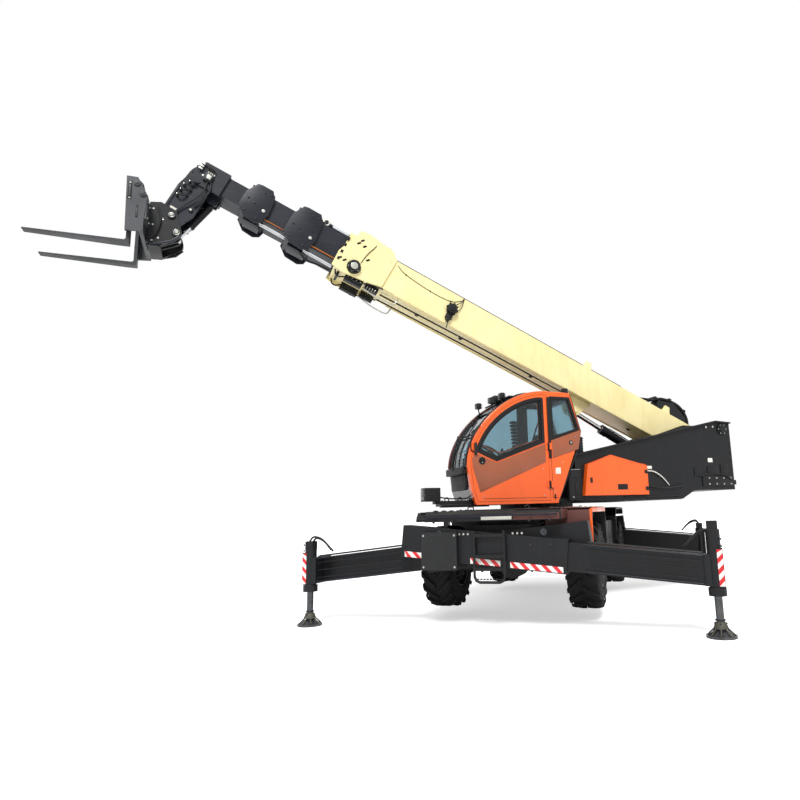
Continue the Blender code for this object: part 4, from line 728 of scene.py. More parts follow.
# Valves, fittings, hoses and pins on the two cheeks of the jib's head.
def jibHead():
    look = jibLook
    part = bmesh.new()
    for side in (1, -1):
        y = side * look["cheek"]
        for fx, fz in look["fittings"]:
            barrel(part, (fx, y, fz), (fx, y + side * 0.02, fz), 0.021, 1, 20)
            barrel(part, (fx - 0.005, y + side * 0.018, fz), (fx - 0.005, y + side * 0.055, fz), 0.013,
                2, 6)
            pipe(part, [(fx - 0.005, y + side * 0.05, fz), (fx - 0.05, y + side * 0.055, fz + 0.01),
                        (fx - 0.10, y + side * 0.03, fz + 0.045), (fx - 0.13, y + side * 0.008,
                            fz + 0.075)], 0.012, 0)
        block(part, (9.25, 9.37), (y, y + side * 0.055), (-0.17, -0.05), 3, 0.006)
        block(part, (9.27, 9.33), (y + side * 0.05, y + side * 0.085), (-0.145, -0.075), 2, 0.005)
        for k in range(4):
            barrel(part, (9.262 + 0.03 * k, y + side * 0.03, -0.04),
                (9.262 + 0.03 * k, y + side * 0.03, -0.005), 0.011, 2, 6)
            pipe(part, [(9.262 + 0.03 * k, y + side * 0.03, -0.01),
                (9.28 + 0.035 * k, y + side * 0.04, 0.04),
                        (9.36 + 0.03 * k, y + side * 0.03, 0.075), (9.44 + 0.012 * k, y + side * 0.01,
                            0.085 - 0.03 * k)], 0.010, 0)
        for k in range(3):
            barrel(part, (9.47, y, 0.06 - 0.045 * k), (9.47, y + side * 0.045, 0.06 - 0.045 * k), 0.014,
                2, 6)
            block(part, (9.44, 9.50), (y + side * 0.03, y + side * 0.06),
                (0.045 - 0.045 * k, 0.075 - 0.045 * k), 2, 0.004)
        pipe(part, [(9.25, y + side * 0.03, -0.15), (9.20, y + side * 0.045, -0.30),
            (9.235, y + side * 0.04, -0.48),
                    (9.27, y + side * 0.02, -0.62)], 0.013, 0)
        pipe(part, [(9.30, y + side * 0.03, -0.17), (9.27, y + side * 0.05, -0.33),
            (9.31, y + side * 0.045, -0.50),
                    (9.40, y + side * 0.03, -0.70), (9.44, y + side * 0.02, -0.86)], 0.012, 0)
        for px, pz in look["pins"]:
            barrel(part, (px, y, pz), (px, y + side * 0.016, pz), 0.034, 3, 28, bevelBy=0.004)
            barrel(part, (px, y + side * 0.012, pz), (px, y + side * 0.024, pz), 0.016, 2, 20)
        for bx, bz in ((9.17, 0.09), (9.24, 0.10), (9.55, -0.12), (9.58, -0.70), (9.26, -0.88),
                (9.25, -0.40), (9.53, 0.0)):
            bolt(part, (bx, y, bz), (0, side, 0), 0.012, 3)
        lx, lz = look["label"]
        block(part, (lx - 0.045, lx + 0.045), (y, y + side * 0.002), (lz - 0.035, lz + 0.035), 4, 0.0005)
        block(part, (9.58, 9.62), (y - side * 0.02, y + side * 0.010), (-0.90, -0.42), 3, 0.004)
    for y in (-0.11, -0.04, 0.04, 0.11):
        pipe(part, [(9.14, y, 0.13), (9.30, y, 0.155), (9.45, y, 0.14), (9.555, y, 0.02),
            (9.60, y, -0.15), (9.605, y, -0.6),
                    (9.60, y, -0.78)], 0.013, 0)
    return finishPiece("jib_head_fittings", part, boomFrame, "section_4",
                       ["hoseRubber", "hoseRubber", "zincPlate", "navyEnamel", "blankLabel"])


# Boss plates, lock cylinder, bolts and hoses of the quick coupler.
def couplerDetails():
    part = bmesh.new()
    for side in (1, -1):
        y = side * 0.262
        for cx, cz, radius in ((5.767, 5.576, 0.062), (5.847, 5.835, 0.055)):
            barrel(part, (cx, y, cz), (cx, y + side * 0.020, cz), radius, 0, 32, bevelBy=0.004)
            torus(part, (cx, y + side * 0.020, cz), (0, 1, 0), radius * 0.62, 0.006, 2)
            barrel(part, (cx, y + side * 0.018, cz), (cx, y + side * 0.034, cz), radius * 0.38, 2, 24)
        for bx, bz in ((6.08, 5.42), (6.08, 5.90), (6.00, 5.46), (5.95, 5.75), (6.08, 5.66)):
            bolt(part, (bx, y, bz), (0, side, 0), 0.012, 2)
        plate(part, [(5.70, 5.52), (5.80, 5.42), (6.00, 5.355), (6.11, 5.345), (6.11, 5.375),
            (6.00, 5.385), (5.82, 5.45),
                     (5.74, 5.53)], tuple(sorted((y, y + side * 0.030))), 0)
        pipe(part, [(6.02, y + side * 0.012, 5.93), (5.98, y + side * 0.03, 5.75),
            (6.02, y + side * 0.03, 5.55),
                    (6.09, y + side * 0.012, 5.44)], 0.011, 1)
    barrel(part, (6.04, -0.20, 5.47), (6.04, 0.20, 5.47), 0.035, 0, 24)
    for y in (-0.10, 0.10):
        pipe(part, [(5.88, y, 5.90), (5.97, y, 5.99), (6.05, y, 5.92), (6.06, y, 5.70)], 0.012, 1)
    return finishPiece("coupler_details", part, forkFrame, "forks",
        ["navyEnamel", "hoseRubber", "zincPlate"])


# Slots, bosses and backing plates of the fork carriage.
def carriageDetails():
    part = bmesh.new()
    half = 0.55
    for side in (1, -1):
        y = side * half
        for cx, cz in ((6.27, 6.110), (6.19, 5.964)):
            barrel(part, (cx, y, cz), (cx, y + side * 0.018, cz), 0.045, 0, 28, bevelBy=0.005)
            barrel(part, (cx, y + side * 0.016, cz), (cx, y + side * 0.028, cz), 0.026, 0, 6)
        block(part, (6.325, 6.375), (y, y + side * 0.002), (5.86, 6.12), 1, 0.001)
        block(part, (6.338, 6.362), (y, y + side * 0.014), (5.90, 6.07), 0, 0.005)
        bolt(part, (6.35, y + side * 0.002, 6.10), (0, side, 0), 0.011, 2)
        bolt(part, (6.35, y + side * 0.002, 5.875), (0, side, 0), 0.011, 2)
        block(part, (6.235, 6.262), (y, y + side * 0.002), (5.60, 5.78), 1, 0.001)
        block(part, (6.24, 6.255), (y, y + side * 0.009), (5.62, 5.74), 0, 0.003)
    for y in (-0.43, -0.27, 0.27, 0.43):
        bolt(part, (6.131, y, 5.90), (-1, 0, 0), 0.014, 2)
        bolt(part, (6.131, y, 5.66), (-1, 0, 0), 0.014, 2)
    for k in range(7):
        y = -0.45 + 0.15 * k
        block(part, (6.168, 6.180), (y - 0.03, y + 0.03), (5.67, 5.89), 1, 0.002)
    for y in (-0.52, -0.28, 0.28, 0.52):
        torus(part, (6.265, y, 6.11), (0, 1, 0), 0.050, 0.012, 0, 28, 8)
    return finishPiece("carriage_details", part, forkFrame, "forks",
        ["greyEnamel", "sealRubber", "zincPlate"])


# Tip chamfers, heel pads and stop pins on the forks.
def forkDetails():
    part = bmesh.new()
    for y in (-0.405, 0.405):
        block(part, (6.366, 6.372), (y - 0.055, y + 0.055), (5.42, 5.90), 0, 0.002)
        block(part, (6.45, 7.30), (y - 0.058, y + 0.058), (5.294, 5.2965), 0, 0.001)
        bolt(part, (6.369, y, 5.86), (1, 0, 0), 0.016, 1)
        bolt(part, (6.369, y, 5.55), (1, 0, 0), 0.014, 1)
        torus(part, (6.265, y - 0.068, 6.11), (0, 1, 0), 0.060, 0.010, 0, 28, 8)
        torus(part, (6.265, y + 0.068, 6.11), (0, 1, 0), 0.060, 0.010, 0, 28, 8)
    return finishPiece("fork_details", part, forkFrame, "forks", ["forgedSteel", "zincPlate"])


def tiltCylinderDetails():
    part = bmesh.new()
    reach = 0.5247
    barrel(part, (reach - 0.035, 0, 0), (reach + 0.002, 0, 0), 0.054, 0, 24)
    for side in (1, -1):
        barrel(part, (0, side * 0.036, 0), (0, side * 0.039, 0), 0.03, 1, 20, bevelBy=0.001)
    pipe(part, [(0.15, 0, 0.048), (0.17, 0.0, 0.085), (0.27, 0, 0.088), (0.42, 0, 0.075),
        (0.46, 0, 0.048)], 0.008, 2)
    return finishPiece("tilt_cylinder_details", part, tiltFrame, "tilt_barrel",
        ["blackEnamel", "zincPlate", "hoseRubber"])


# Gland bolts, port block and hard pipe of the lift cylinder.
def liftCylinderDetails():
    part = bmesh.new()
    end = 1.66
    for k in range(8):
        a = math.pi * k / 4
        bolt(part, (end, 0.072 * math.cos(a), 0.072 * math.sin(a)), (1, 0, 0), 0.009, 1)
    torus(part, (end - 0.145, 0, 0), (1, 0, 0), 0.081, 0.006, 0)
    block(part, (0.18, 0.30), (-0.05, 0.05), (0.07, 0.125), 0, 0.006)
    pipe(part, [(0.24, 0.045, 0.11), (0.40, 0.075, 0.075), (0.9, 0.075, 0.07), (1.4, 0.075, 0.07),
        (1.52, 0.06, 0.075)], 0.012, 1)
    for x in (0.55, 1.0, 1.4):
        torus(part, (x, 0, 0), (1, 0, 0), 0.082, 0.004, 0)
    for k in range(3):
        pipe(part, [(0.20 + 0.03 * k, -0.02, 0.12), (0.10, -0.03 + 0.03 * k, 0.20),
            (-0.05, -0.03 + 0.03 * k, 0.20),
                    (-0.12, -0.03 + 0.03 * k, 0.10)], 0.013, 2)
    return finishPiece("lift_cylinder_details", part, liftFrame, "lift_barrel",
        ["blackEnamel", "zincPlate", "hoseRubber"])


jibHead()
couplerDetails()
carriageDetails()
forkDetails()
tiltCylinderDetails()
liftCylinderDetails()
print("jib, coupler and forks dressed")


cabLook = {"near": 1.25, "far": 0.42, "nose": (1.725, 2.15), "crown": (0.45, 3.29),
    "curve": 1.78}


# The curved front edge of the cab's side, drawn in by depth, from nose to crown.
def cabArc(depth, steps=20):
    (nx, nz), (cx, cz) = cabLook["nose"], cabLook["crown"]
    power = 2 / cabLook["curve"]
    points = []
    for index in range(steps + 1):
        a = math.pi / 2 * index / steps
        points.append((cx + (nx - depth - cx) * math.cos(a) ** power,
            nz + (cz - depth - nz) * math.sin(a) ** power))
    return points


# Brown upper panel, painted shadow that darkens the orange door under the window, with window seal, handle
# and seams on the door; it swings with the door.
def cabDoorTrim():
    part = bmesh.new()
    y = cabLook["near"]
    # the brown plate is painted shadow on the orange door
    plate(part, [(1.625, 2.335), (1.27, 2.19), (0.45, 2.48), (0.45, 2.20), (1.545, 1.755), (1.655, 2.12),
        (1.66, 2.25)],
          (y - 0.001, y + 0.004), 0, 0.0015)
    window = [(0.455, 2.50), (1.27, 2.205),
        (1.625, 2.36)] + [p for p in cabArc(0.085) if p[1] > 2.40 and p[0] > 0.46]
    window += [(0.455, 3.195)]
    frameStrip(part, window, drawnIn(window, 0.045), (y - 0.022, y + 0.006), 1)
    frameStrip(part, drawnIn(window, 0.045), drawnIn(window, 0.075), (y - 0.034, y - 0.010), 1)
    barrel(part, (1.505, y + 0.002, 2.215), (1.505, y + 0.012, 2.215), 0.052, 1, 32, bevelBy=0.003)
    torus(part, (1.505, y + 0.012, 2.215), (0, 1, 0), 0.044, 0.006, 1)
    block(part, (1.475, 1.535), (y + 0.008, y + 0.022), (2.205, 2.228), 1, 0.006)
    barrel(part, (1.505, y + 0.004, 2.19), (1.505, y + 0.018, 2.19), 0.009, 3, 16)
    pipe(part, [(0.452, y + 0.001, 2.205), (1.0, y + 0.001, 1.981), (1.545, y + 0.001, 1.757)], 0.003, 1,
        6, 1)
    pipe(part, [(0.452, y + 0.001, 1.665), (1.50, y + 0.001, 1.665)], 0.003, 1, 6, 1)
    pipe(part, [(0.47, y - 0.045, 2.56), (0.95, y - 0.060, 2.42), (1.20, y - 0.055, 2.34),
        (1.45, y - 0.05, 2.44)], 0.014, 2, 10, 4)
    pipe(part, [(0.49, y - 0.040, 2.50), (0.90, y - 0.055, 2.37), (1.22, y - 0.05, 2.27)], 0.011, 2, 10, 4)
    pipe(part, [(0.53, y - 0.045, 2.60), (0.52, y - 0.05, 2.85), (0.53, y - 0.045, 3.10)], 0.012, 2)
    for level in (1.86, 2.44):
        barrel(part, (0.40, y + 0.014, level - 0.056), (0.40, y + 0.014, level + 0.056), 0.0165, 1, 16)
    for bx, bz in ((0.50, 1.70), (1.49, 1.70), (0.50, 2.10)):
        bolt(part, (bx, y, bz), (0, 1, 0), 0.008, 3)
    return finishPiece("cab_door_trim", part, turretFrame, "cab_door",
                       ["paintedShadowBrown", "sealRubber", "orangeEnamel", "zincPlate"])


# Brown corner panel, painted shadow on the orange side, with post, seals, lock, blank plate and outer rim
# of the cab's near side.
def cabRearTrim():
    part = bmesh.new()
    y = cabLook["near"]
    # the brown plate is painted shadow on the orange cab side
    plate(part, [(0.325, 2.54), (0.325, 2.262), (-0.135, 2.405), (-0.196, 2.66), (-0.185, 2.70)],
          (y - 0.001, y + 0.004), 0, 0.0015)
    quarter = [(0.345, 2.535), (0.345, 3.225), (-0.015, 3.225), (-0.178, 2.705)]
    frameStrip(part, quarter, drawnIn(quarter, 0.045), (y - 0.022, y + 0.006), 1)
    block(part, (0.345, 0.392), (y - 0.004, y + 0.014), (2.255, 3.21), 1, 0.006)
    barrel(part, (-0.005, y + 0.002, 2.505), (-0.005, y + 0.012, 2.505), 0.033, 1, 28, bevelBy=0.003)
    barrel(part, (-0.005, y + 0.008, 2.505), (-0.005, y + 0.016, 2.505), 0.017, 3, 20)
    plate(part, [(0.20, 2.02), (0.29, 2.02), (0.29, 2.10), (0.265, 2.115), (0.20, 2.115)],
        (y, y + 0.002), 4, 0.0005)
    pipe(part, [(0.325, y + 0.001, 2.262), (-0.135, y + 0.001, 2.405)], 0.003, 1, 6, 1)
    pipe(part, [(0.352, y + 0.0, 2.25), (0.352, y + 0.0, 1.66)], 0.0035, 1, 6, 1)
    pipe(part, [(0.352, y, 1.66), (0.262, y, 1.66)], 0.003, 1, 6, 1)
    block(part, (0.305, 0.33), (y, y + 0.012), (1.645, 1.71), 1, 0.004)
    outer = cabArc(0.0, 28)
    rim = [(1.61, y - 0.012, 1.60)] + [(px, y - 0.012, pz) for px,
        pz in outer] + [(0.10, y - 0.012, 3.285), (-0.03, y - 0.012, 3.275)]
    pipe(part, rim, 0.016, 2, 10, 1)
    pipe(part, [(-0.03, y - 0.012, 3.275), (-0.195, y - 0.012, 2.69), (-0.135, y - 0.012, 2.41),
        (0.262, y - 0.012, 1.60)], 0.014, 1, 8, 1)
    for bx, bz in ((0.31, 1.75), (0.16, 2.20), (-0.09, 2.60), (0.30, 2.45)):
        bolt(part, (bx, y + 0.002, bz), (0, 1, 0), 0.008, 3)
    return finishPiece("cab_side_trim", part, turretFrame, "turret",
                       ["paintedShadowBrown", "sealRubber", "orangeEnamel", "zincPlate", "blankLabel"])


# Screen frame, guard bars, wipers, roof lamps and the dark nose below the screen.
def cabFront():
    part = bmesh.new()
    far, near = cabLook["far"], cabLook["near"]
    arc = cabArc(-0.012, 28)
    # the far screen frame takes the dark red-brown of painted shade, a darkened orange; the near one is
    # black plastic
    for y, slot in ((far + 0.03, 1), (near - 0.07, 0)):
        pipe(part, [(px, y, pz) for px, pz in arc if pz < 3.26], 0.017, slot, 10, 1)
    low = [(px, pz) for px, pz in arc if pz < 3.0]
    for level in (2.13, 2.62):
        px = next(p[0] for p in low if p[1] >= level)
        pipe(part, [(px + 0.012, far + 0.05, level), (px + 0.02, (far + near) / 2, level),
            (px + 0.012, near - 0.08, level)], 0.012, 0)
    for y in (far + 0.22, far + 0.40, far + 0.58):
        line = [(px + 0.035, y, pz) for px, pz in low[::4]]
        pipe(part, line, 0.009, 0, 8, 2)
    block(part, (1.60, 1.79), (far + 0.02, near - 0.10), (2.03, 2.14), 0, 0.02)
    block(part, (1.52, 1.72), (far + 0.05, near - 0.16), (1.80, 2.04), 0, 0.03)
    block(part, (1.50, 1.64), (far + 0.10, near - 0.20), (1.66, 1.82), 0, 0.02)
    for k in range(4):
        block(part, (1.715, 1.725), (far + 0.12, near - 0.22), (1.84 + 0.045 * k, 1.865 + 0.045 * k), 2,
            0.004)
    pipe(part, [(1.775, far + 0.36, 2.12), (1.80, far + 0.37, 2.22), (1.72, far + 0.42, 2.62)], 0.010, 2)
    pipe(part, [(1.70, far + 0.20, 2.40), (1.735, far + 0.42, 2.50), (1.70, far + 0.62, 2.60)], 0.009, 2)
    barrel(part, (1.765, far + 0.34, 2.13), (1.80, far + 0.34, 2.13), 0.03, 0, 20)
    for y, at in ((near - 0.16, (1.26, 3.045)), (near - 0.30, (1.02, 3.155)),
            (far + 0.14, (1.26, 3.045)), (far + 0.28, (1.02, 3.155))):
        x, z = at
        barrel(part, (x - 0.02, y, z - 0.03), (x, y, z + 0.07), 0.010, 2, 12)
        block(part, (x - 0.04, x + 0.035), (y - 0.05, y + 0.05), (z + 0.055, z + 0.15), 0, 0.015)
        for k in range(4):
            block(part, (x - 0.055, x - 0.038), (y - 0.045, y + 0.045),
                (z + 0.065 + 0.02 * k, z + 0.072 + 0.02 * k), 0, 0.001)
        block(part, (x + 0.033, x + 0.042), (y - 0.042, y + 0.042), (z + 0.063, z + 0.142), 3, 0.003)
    barrel(part, (-0.02, near - 0.13, 3.27), (-0.02, near - 0.13, 3.315), 0.011, 2, 12)
    block(part, (-0.055, 0.03), (near - 0.18, near - 0.08), (3.31, 3.39), 0, 0.02)
    block(part, (-0.064, -0.053), (near - 0.172, near - 0.088), (3.318, 3.382), 3, 0.003)
    pipe(part, [(1.1, far + 0.06, 3.14), (0.8, far + 0.06, 3.27), (0.4, far + 0.06, 3.308),
        (0.0, far + 0.06, 3.30)], 0.014, 2)
    for y in (far + 0.16, far + 0.33, near - 0.40, near - 0.24):
        pipe(part, [(0.98, y, 3.19), (0.72, y, 3.29), (0.42, y, 3.315), (0.02, y, 3.305)], 0.010, 2)
    pipe(part, [(1.63, near + 0.004, 2.34), (1.685, near + 0.02, 2.40), (1.66, near + 0.035, 2.60),
        (1.52, near + 0.03, 2.76)], 0.009, 2)
    block(part, (1.585, 1.625), (near + 0.0, near + 0.035), (2.30, 2.48), 2, 0.01)
    return finishPiece("cab_front_and_lamps", part, turretFrame, "turret",
                       ["grainedPlastic", "paintedShadeRed", "hoseRubber", "lampGlass"])


# Levers, display, armrests, column bellows, headliner and rails seen through the glass.
def cabInterior():
    part = bmesh.new()
    far, near = cabLook["far"], cabLook["near"]
    middle = (far + near) / 2
    for k in range(11):
        torus(part, (0.60 + 0.004 * k, far + 0.14, 2.35 + 0.055 * k), (0, 0, 1), 0.052, 0.020, 0, 24, 8)
    block(part, (0.42, 0.56), (far + 0.07, far + 0.22), (2.2, 3.15), 0, 0.03)
    for y in (middle - 0.30, middle + 0.30):
        block(part, (0.46, 0.88), (y - 0.045, y + 0.045), (2.22, 2.29), 0, 0.02)
        block(part, (0.52, 0.60), (y - 0.03, y + 0.03), (2.06, 2.23), 0, 0.01)
        barrel(part, (0.83, y, 2.28), (0.85, y, 2.40), 0.011, 1, 12)
        barrel(part, (0.85, y, 2.385), (0.858, y, 2.48), 0.026, 0, 16, 0.020, 0.008)
    block(part, (1.34, 1.40), (middle - 0.26, middle - 0.10), (2.30, 2.50), 0, 0.01)
    block(part, (1.33, 1.342), (middle - 0.25, middle - 0.11), (2.315, 2.485), 2, 0.002)
    block(part, (1.44, 1.60), (far + 0.10, near - 0.18), (2.18, 2.30), 0, 0.03)
    for k in range(4):
        block(part, (1.40, 1.56), (middle + 0.02 + 0.055 * k, middle + 0.055 + 0.055 * k), (2.30, 2.325),
            3 if k % 2 else 2, 0.004)
    for k in range(3):
        barrel(part, (1.42, middle - 0.05 + 0.07 * k, 2.22), (1.38, middle - 0.05 + 0.07 * k, 2.30),
            0.012, 1, 12)
    torus(part, (1.19, middle, 2.385), (-math.sin(math.radians(32)), 0, math.cos(math.radians(32))),
        0.178, 0.018, 0, 48, 10)
    barrel(part, (1.21, middle, 2.352), (1.182, middle, 2.397), 0.05, 0, 24)
    block(part, (0.05, 1.0), (far + 0.06, near - 0.07), (3.205, 3.225), 0, 0.006)
    pipe(part, [(1.50, far + 0.10, 2.38), (1.30, far + 0.10, 2.26), (0.90, far + 0.10, 2.34),
        (0.45, far + 0.10, 2.50)], 0.014, 4)
    pipe(part, [(0.30, far + 0.12, 2.6), (0.22, far + 0.2, 2.9), (0.2, middle, 3.0),
        (0.22, near - 0.2, 2.9), (0.30, near - 0.12, 2.6)], 0.012, 0)
    for k in range(2):
        barrel(part, (1.30 + 0.03 * k, middle + 0.14, 1.70),
            (1.36 + 0.03 * k, middle + 0.14 - 0.22 * k, 1.80), 0.011, 1, 10)
        block(part, (1.20, 1.30), (middle + 0.06 - 0.2 * k, middle + 0.16 - 0.2 * k), (1.72, 1.745), 0,
            0.006,
              Matrix.Rotation(math.radians(-25), 4, "Y"))
    return finishPiece("cab_controls", part, turretFrame, "turret",
                       ["grainedPlastic", "zincPlate", "blankLabel", "creamEnamel", "orangeEnamel"])


# The seat: a swelled cushion and back with sewn channels, from cloth under pressure.
def driverSeat():
    look = {"voxel": 0.009, "pressure": 4, "give": 0.016, "channel": 0.11, "sewn": 0.007}
    pieces = []
    forms = [
        ("seat_cushion_pad", [(0.44, 1.945), (0.90, 1.945), (0.915, 2.015), (0.52, 2.035)], (0.612, 1.058)),
        ("seat_back_pad", [(0.345, 2.06), (0.475, 2.06), (0.335, 2.70), (0.262, 2.70)], (0.625, 1.045)),
    ]
    for name, outline, y in forms:
        form = bmesh.new()
        plate(form, outline, y, 0, 0.02)
        mesh = bpy.data.meshes.new(name)
        form.to_mesh(mesh)
        form.free()
        pad = bpy.data.objects.new(name, mesh)
        bpy.context.scene.collection.objects.link(pad)
        bpy.context.view_layer.objects.active = pad
        remesh = pad.modifiers.new("remesh", "REMESH")
        remesh.mode = "VOXEL"
        remesh.voxel_size = look["voxel"]
        graph = bpy.context.evaluated_depsgraph_get()
        even = bpy.data.meshes.new_from_object(pad.evaluated_get(graph))
        pad.modifiers.clear()
        pad.data = even
        before = [vert.co.copy() for vert in even.vertices]
        cloth = pad.modifiers.new("cloth", "CLOTH")
        cloth.settings.use_pressure = True
        cloth.settings.uniform_pressure_force = look["pressure"]
        cloth.settings.effector_weights.gravity = 0
        for step in range(1, 21):
            bpy.context.scene.frame_set(step)
        graph = bpy.context.evaluated_depsgraph_get()
        swelled = bpy.data.meshes.new_from_object(pad.evaluated_get(graph))
        pad.modifiers.clear()
        bpy.context.scene.frame_set(1)
        for vert, start in zip(swelled.vertices, before):
            shift = vert.co - start
            if shift.length > look["give"]:  # the foam gives no more than this
                vert.co = start + shift.normalized() * look["give"]
        pad.data = swelled
        for vert in pad.data.vertices:  # sewn channels across, and a welt inside each edge
            along = vert.co.x if name == "seat_cushion_pad" else vert.co.z
            span = look["channel"]
            groove = math.exp(-((((along / span) % 1) - 0.5) * span / 0.010) ** 2)
            vert.co += vert.normal * (-look["sewn"] * groove)
        pad.data.transform(turretFrame)
        for face in pad.data.polygons:
            face.use_smooth = True
        pad.data.materials.clear()
        pad.data.materials.append(finish["seatVinyl"])
        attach(pad, "turret")
        pieces.append(pad)
    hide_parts("seat_cushion")
    return pieces


cabDoorTrim()
cabRearTrim()
cabFront()
cabInterior()
driverSeat()
print("cab dressed")


# Pivot bosses, lugs, blank labels, hoses, bolts and rubber blocks of the turret.
def tailDetails():
    part = bmesh.new()
    out = 1.16
    for side in (1, -1):
        y = side * (out if side > 0 else 0.41)
        barrel(part, (-3.15, y, 2.80), (-3.15, y + side * 0.022, 2.80), 0.10, 0, 40, bevelBy=0.005)
        barrel(part, (-3.15, y + side * 0.020, 2.80), (-3.15, y + side * 0.038, 2.80), 0.062, 0, 28,
            bevelBy=0.004)
        for k in range(6):
            a = math.pi * k / 3
            bolt(part, (-3.15 + 0.082 * math.cos(a), y + side * 0.021, 2.80 + 0.082 * math.sin(a)),
                (0, side, 0), 0.010, 1)
    for x, z in ((-2.95, 2.84), (-2.80, 2.83)):
        barrel(part, (x, out, z), (x, out + 0.012, z), 0.020, 1, 20)
    for x, z, w, h in ((-2.83, 2.25, 0.10, 0.07), (-1.53, 2.125, 0.10, 0.05), (-2.57, 2.52, 0.26, 0.10)):
        if h < 0.09:
            block(part, (x - w / 2, x + w / 2), (out, out + 0.002), (z - h / 2, z + h / 2), 2, 0.0005)
    pipe(part, [(-1.47, out + 0.02, 2.07), (-1.60, out + 0.035, 2.05), (-1.76, out + 0.03, 1.96),
        (-1.90, out + 0.01, 1.83)], 0.009, 2)
    pipe(part, [(-1.45, out + 0.03, 1.83), (-1.7, out + 0.05, 1.79), (-2.0, out + 0.04, 1.80),
        (-2.2, out + 0.01, 1.83)], 0.014, 3)
    block(part, (-3.30, -2.62), (out, out + 0.016), (1.80, 1.98), 0, 0.006)
    for x in (-3.24, -3.08, -2.92, -2.76):
        bolt(part, (x, out + 0.016, 1.84), (0, 1, 0), 0.013, 1)
        bolt(part, (x, out + 0.016, 1.94), (0, 1, 0), 0.013, 1)
    for x, z, w, h in ((-2.55, 2.05, 0.18, 0.14), (-2.86, 2.08, 0.22, 0.12), (-3.12, 2.10, 0.16, 0.16)):
        block(part, (x - w / 2, x + w / 2), (out, out + 0.012), (z - h / 2, z + h / 2), 0, 0.005)
    pipe(part, [(-2.55, out + 0.015, 1.98), (-2.8, out + 0.03, 2.02), (-3.1, out + 0.03, 1.99),
        (-3.28, out + 0.015, 1.90)], 0.011, 3)
    pipe(part, [(-1.0, out + 0.012, 1.655), (-1.6, out + 0.018, 1.65), (-2.1, out + 0.012, 1.66)], 0.010, 3)
    for k in range(10):
        bolt(part, (-0.25 - 0.2 * k, out, 1.635), (0, 1, 0), 0.010, 0)
    for k in range(8):
        bolt(part, (-3.29, out, 1.82 + 0.14 * k), (0, 1, 0), 0.011, 0)
    for x in (-3.46, -3.40):
        bolt(part, (x + 0.03, 1.02, 1.912), (0, 0, 1), 0.016, 1)
    torus(part, (-3.34, 0.94, 1.95), (0, 1, 0), 0.034, 0.010, 1, 24, 8)
    for k in range(3):
        block(part, (-3.345, -3.333), (-0.9 + 0.62 * k, -0.42 + 0.62 * k), (1.84, 2.28), 0, 0.01)
        for b in range(2):
            bolt(part, (-3.343, -0.84 + 0.62 * k + 0.36 * b, 2.22), (-1, 0, 0), 0.014, 1)
    for y in (-0.75, 0.75):
        block(part, (-3.352, -3.333), (y - 0.12, y + 0.12), (2.10, 2.17), 4, 0.004)
    return finishPiece("tail_details", part, turretFrame, "turret",
                       ["blackEnamel", "zincPlate", "blankLabel", "hoseRubber", "reflectiveRed"])


# Boxes, hoses, filter and grab rails between the cab and the boom, and the nose beam.
def turretDeck():
    part = bmesh.new()
    barrel(part, (-0.30, 0.98, 2.36), (-0.30, 0.98, 2.60), 0.075, 1, 32, bevelBy=0.01)
    for k in range(5):
        torus(part, (-0.30, 0.98, 2.39 + 0.045 * k), (0, 0, 1), 0.077, 0.006, 1, 32, 8)
    barrel(part, (-0.30, 0.98, 2.60), (-0.30, 0.98, 2.635), 0.095, 1, 32, 0.06, 0.008)
    block(part, (-0.26, -0.11), (0.90, 1.14), (1.70, 2.34), 0, 0.01)
    for k in range(6):
        pipe(part, [(-0.5 - 0.1 * k, 0.50, 1.68), (-0.6, 0.50 + 0.03 * k, 1.86),
            (-1.0, 0.54 + 0.04 * k, 1.90),
                    (-1.7, 0.50 + 0.05 * k, 1.82), (-2.3, 0.52 + 0.05 * k, 1.95)], 0.020, 1)
    for k in range(5):
        pipe(part, [(-2.60, -0.20 + 0.08 * k, 1.88), (-2.75, -0.18 + 0.08 * k, 2.25),
            (-3.02, -0.16 + 0.07 * k, 2.46),
                    (-3.20, -0.14 + 0.07 * k, 2.60)], 0.020, 1)
    block(part, (1.45, 1.53), (0.05, 1.15), (1.60, 1.66), 0, 0.01)
    block(part, (1.36, 2.10), (1.02, 1.14), (1.555, 1.603), 0, 0.012)
    for x in (1.62, 1.80, 2.0):
        torus(part, (x, 1.07, 1.665), (0, 1, 0), 0.030, 0.009, 0, 24, 8)
        bolt(part, (x + 0.07, 1.07, 1.651), (0, 0, 1), 0.012, 2)
    pipe(part, [(2.16, 1.02, 1.74), (2.05, 0.98, 1.70), (1.85, 0.98, 1.68), (1.5, 0.96, 1.69)], 0.010, 1)
    block(part, (2.358, 2.368), (0.995, 1.165), (1.665, 1.82), 3, 0.004)
    for k in range(5):
        block(part, (2.13, 2.36), (1.179, 1.186), (1.665 + 0.033 * k, 1.676 + 0.033 * k), 0, 0.002)
    pipe(part, [(1.30, 0.40, 1.66), (1.32, 0.40, 1.95), (0.6, 0.405, 1.98), (0.3, 0.405, 1.95),
        (0.28, 0.40, 1.66)], 0.016, 0)
    block(part, (-0.9, 0.3), (-0.34, 0.34), (1.66, 1.80), 0, 0.02)
    barrel(part, (-0.3, 0, 1.78), (-0.3, 0, 1.93), 0.16, 0, 32, bevelBy=0.01)
    for k in range(8):
        a = math.pi * k / 4
        pipe(part, [(-0.3 + 0.12 * math.cos(a), 0.12 * math.sin(a), 1.92),
            (-0.3 + 0.16 * math.cos(a), 0.16 * math.sin(a), 2.02),
                    (-0.3 + 0.26 * math.cos(a), 0.26 * math.sin(a), 1.98), (-0.3 + 0.31 * math.cos(a),
                        0.31 * math.sin(a), 1.70)], 0.016, 1)
    return finishPiece("turret_deck_details", part, turretFrame, "turret",
                       ["blackEnamel", "hoseRubber", "zincPlate", "lampGlass"])


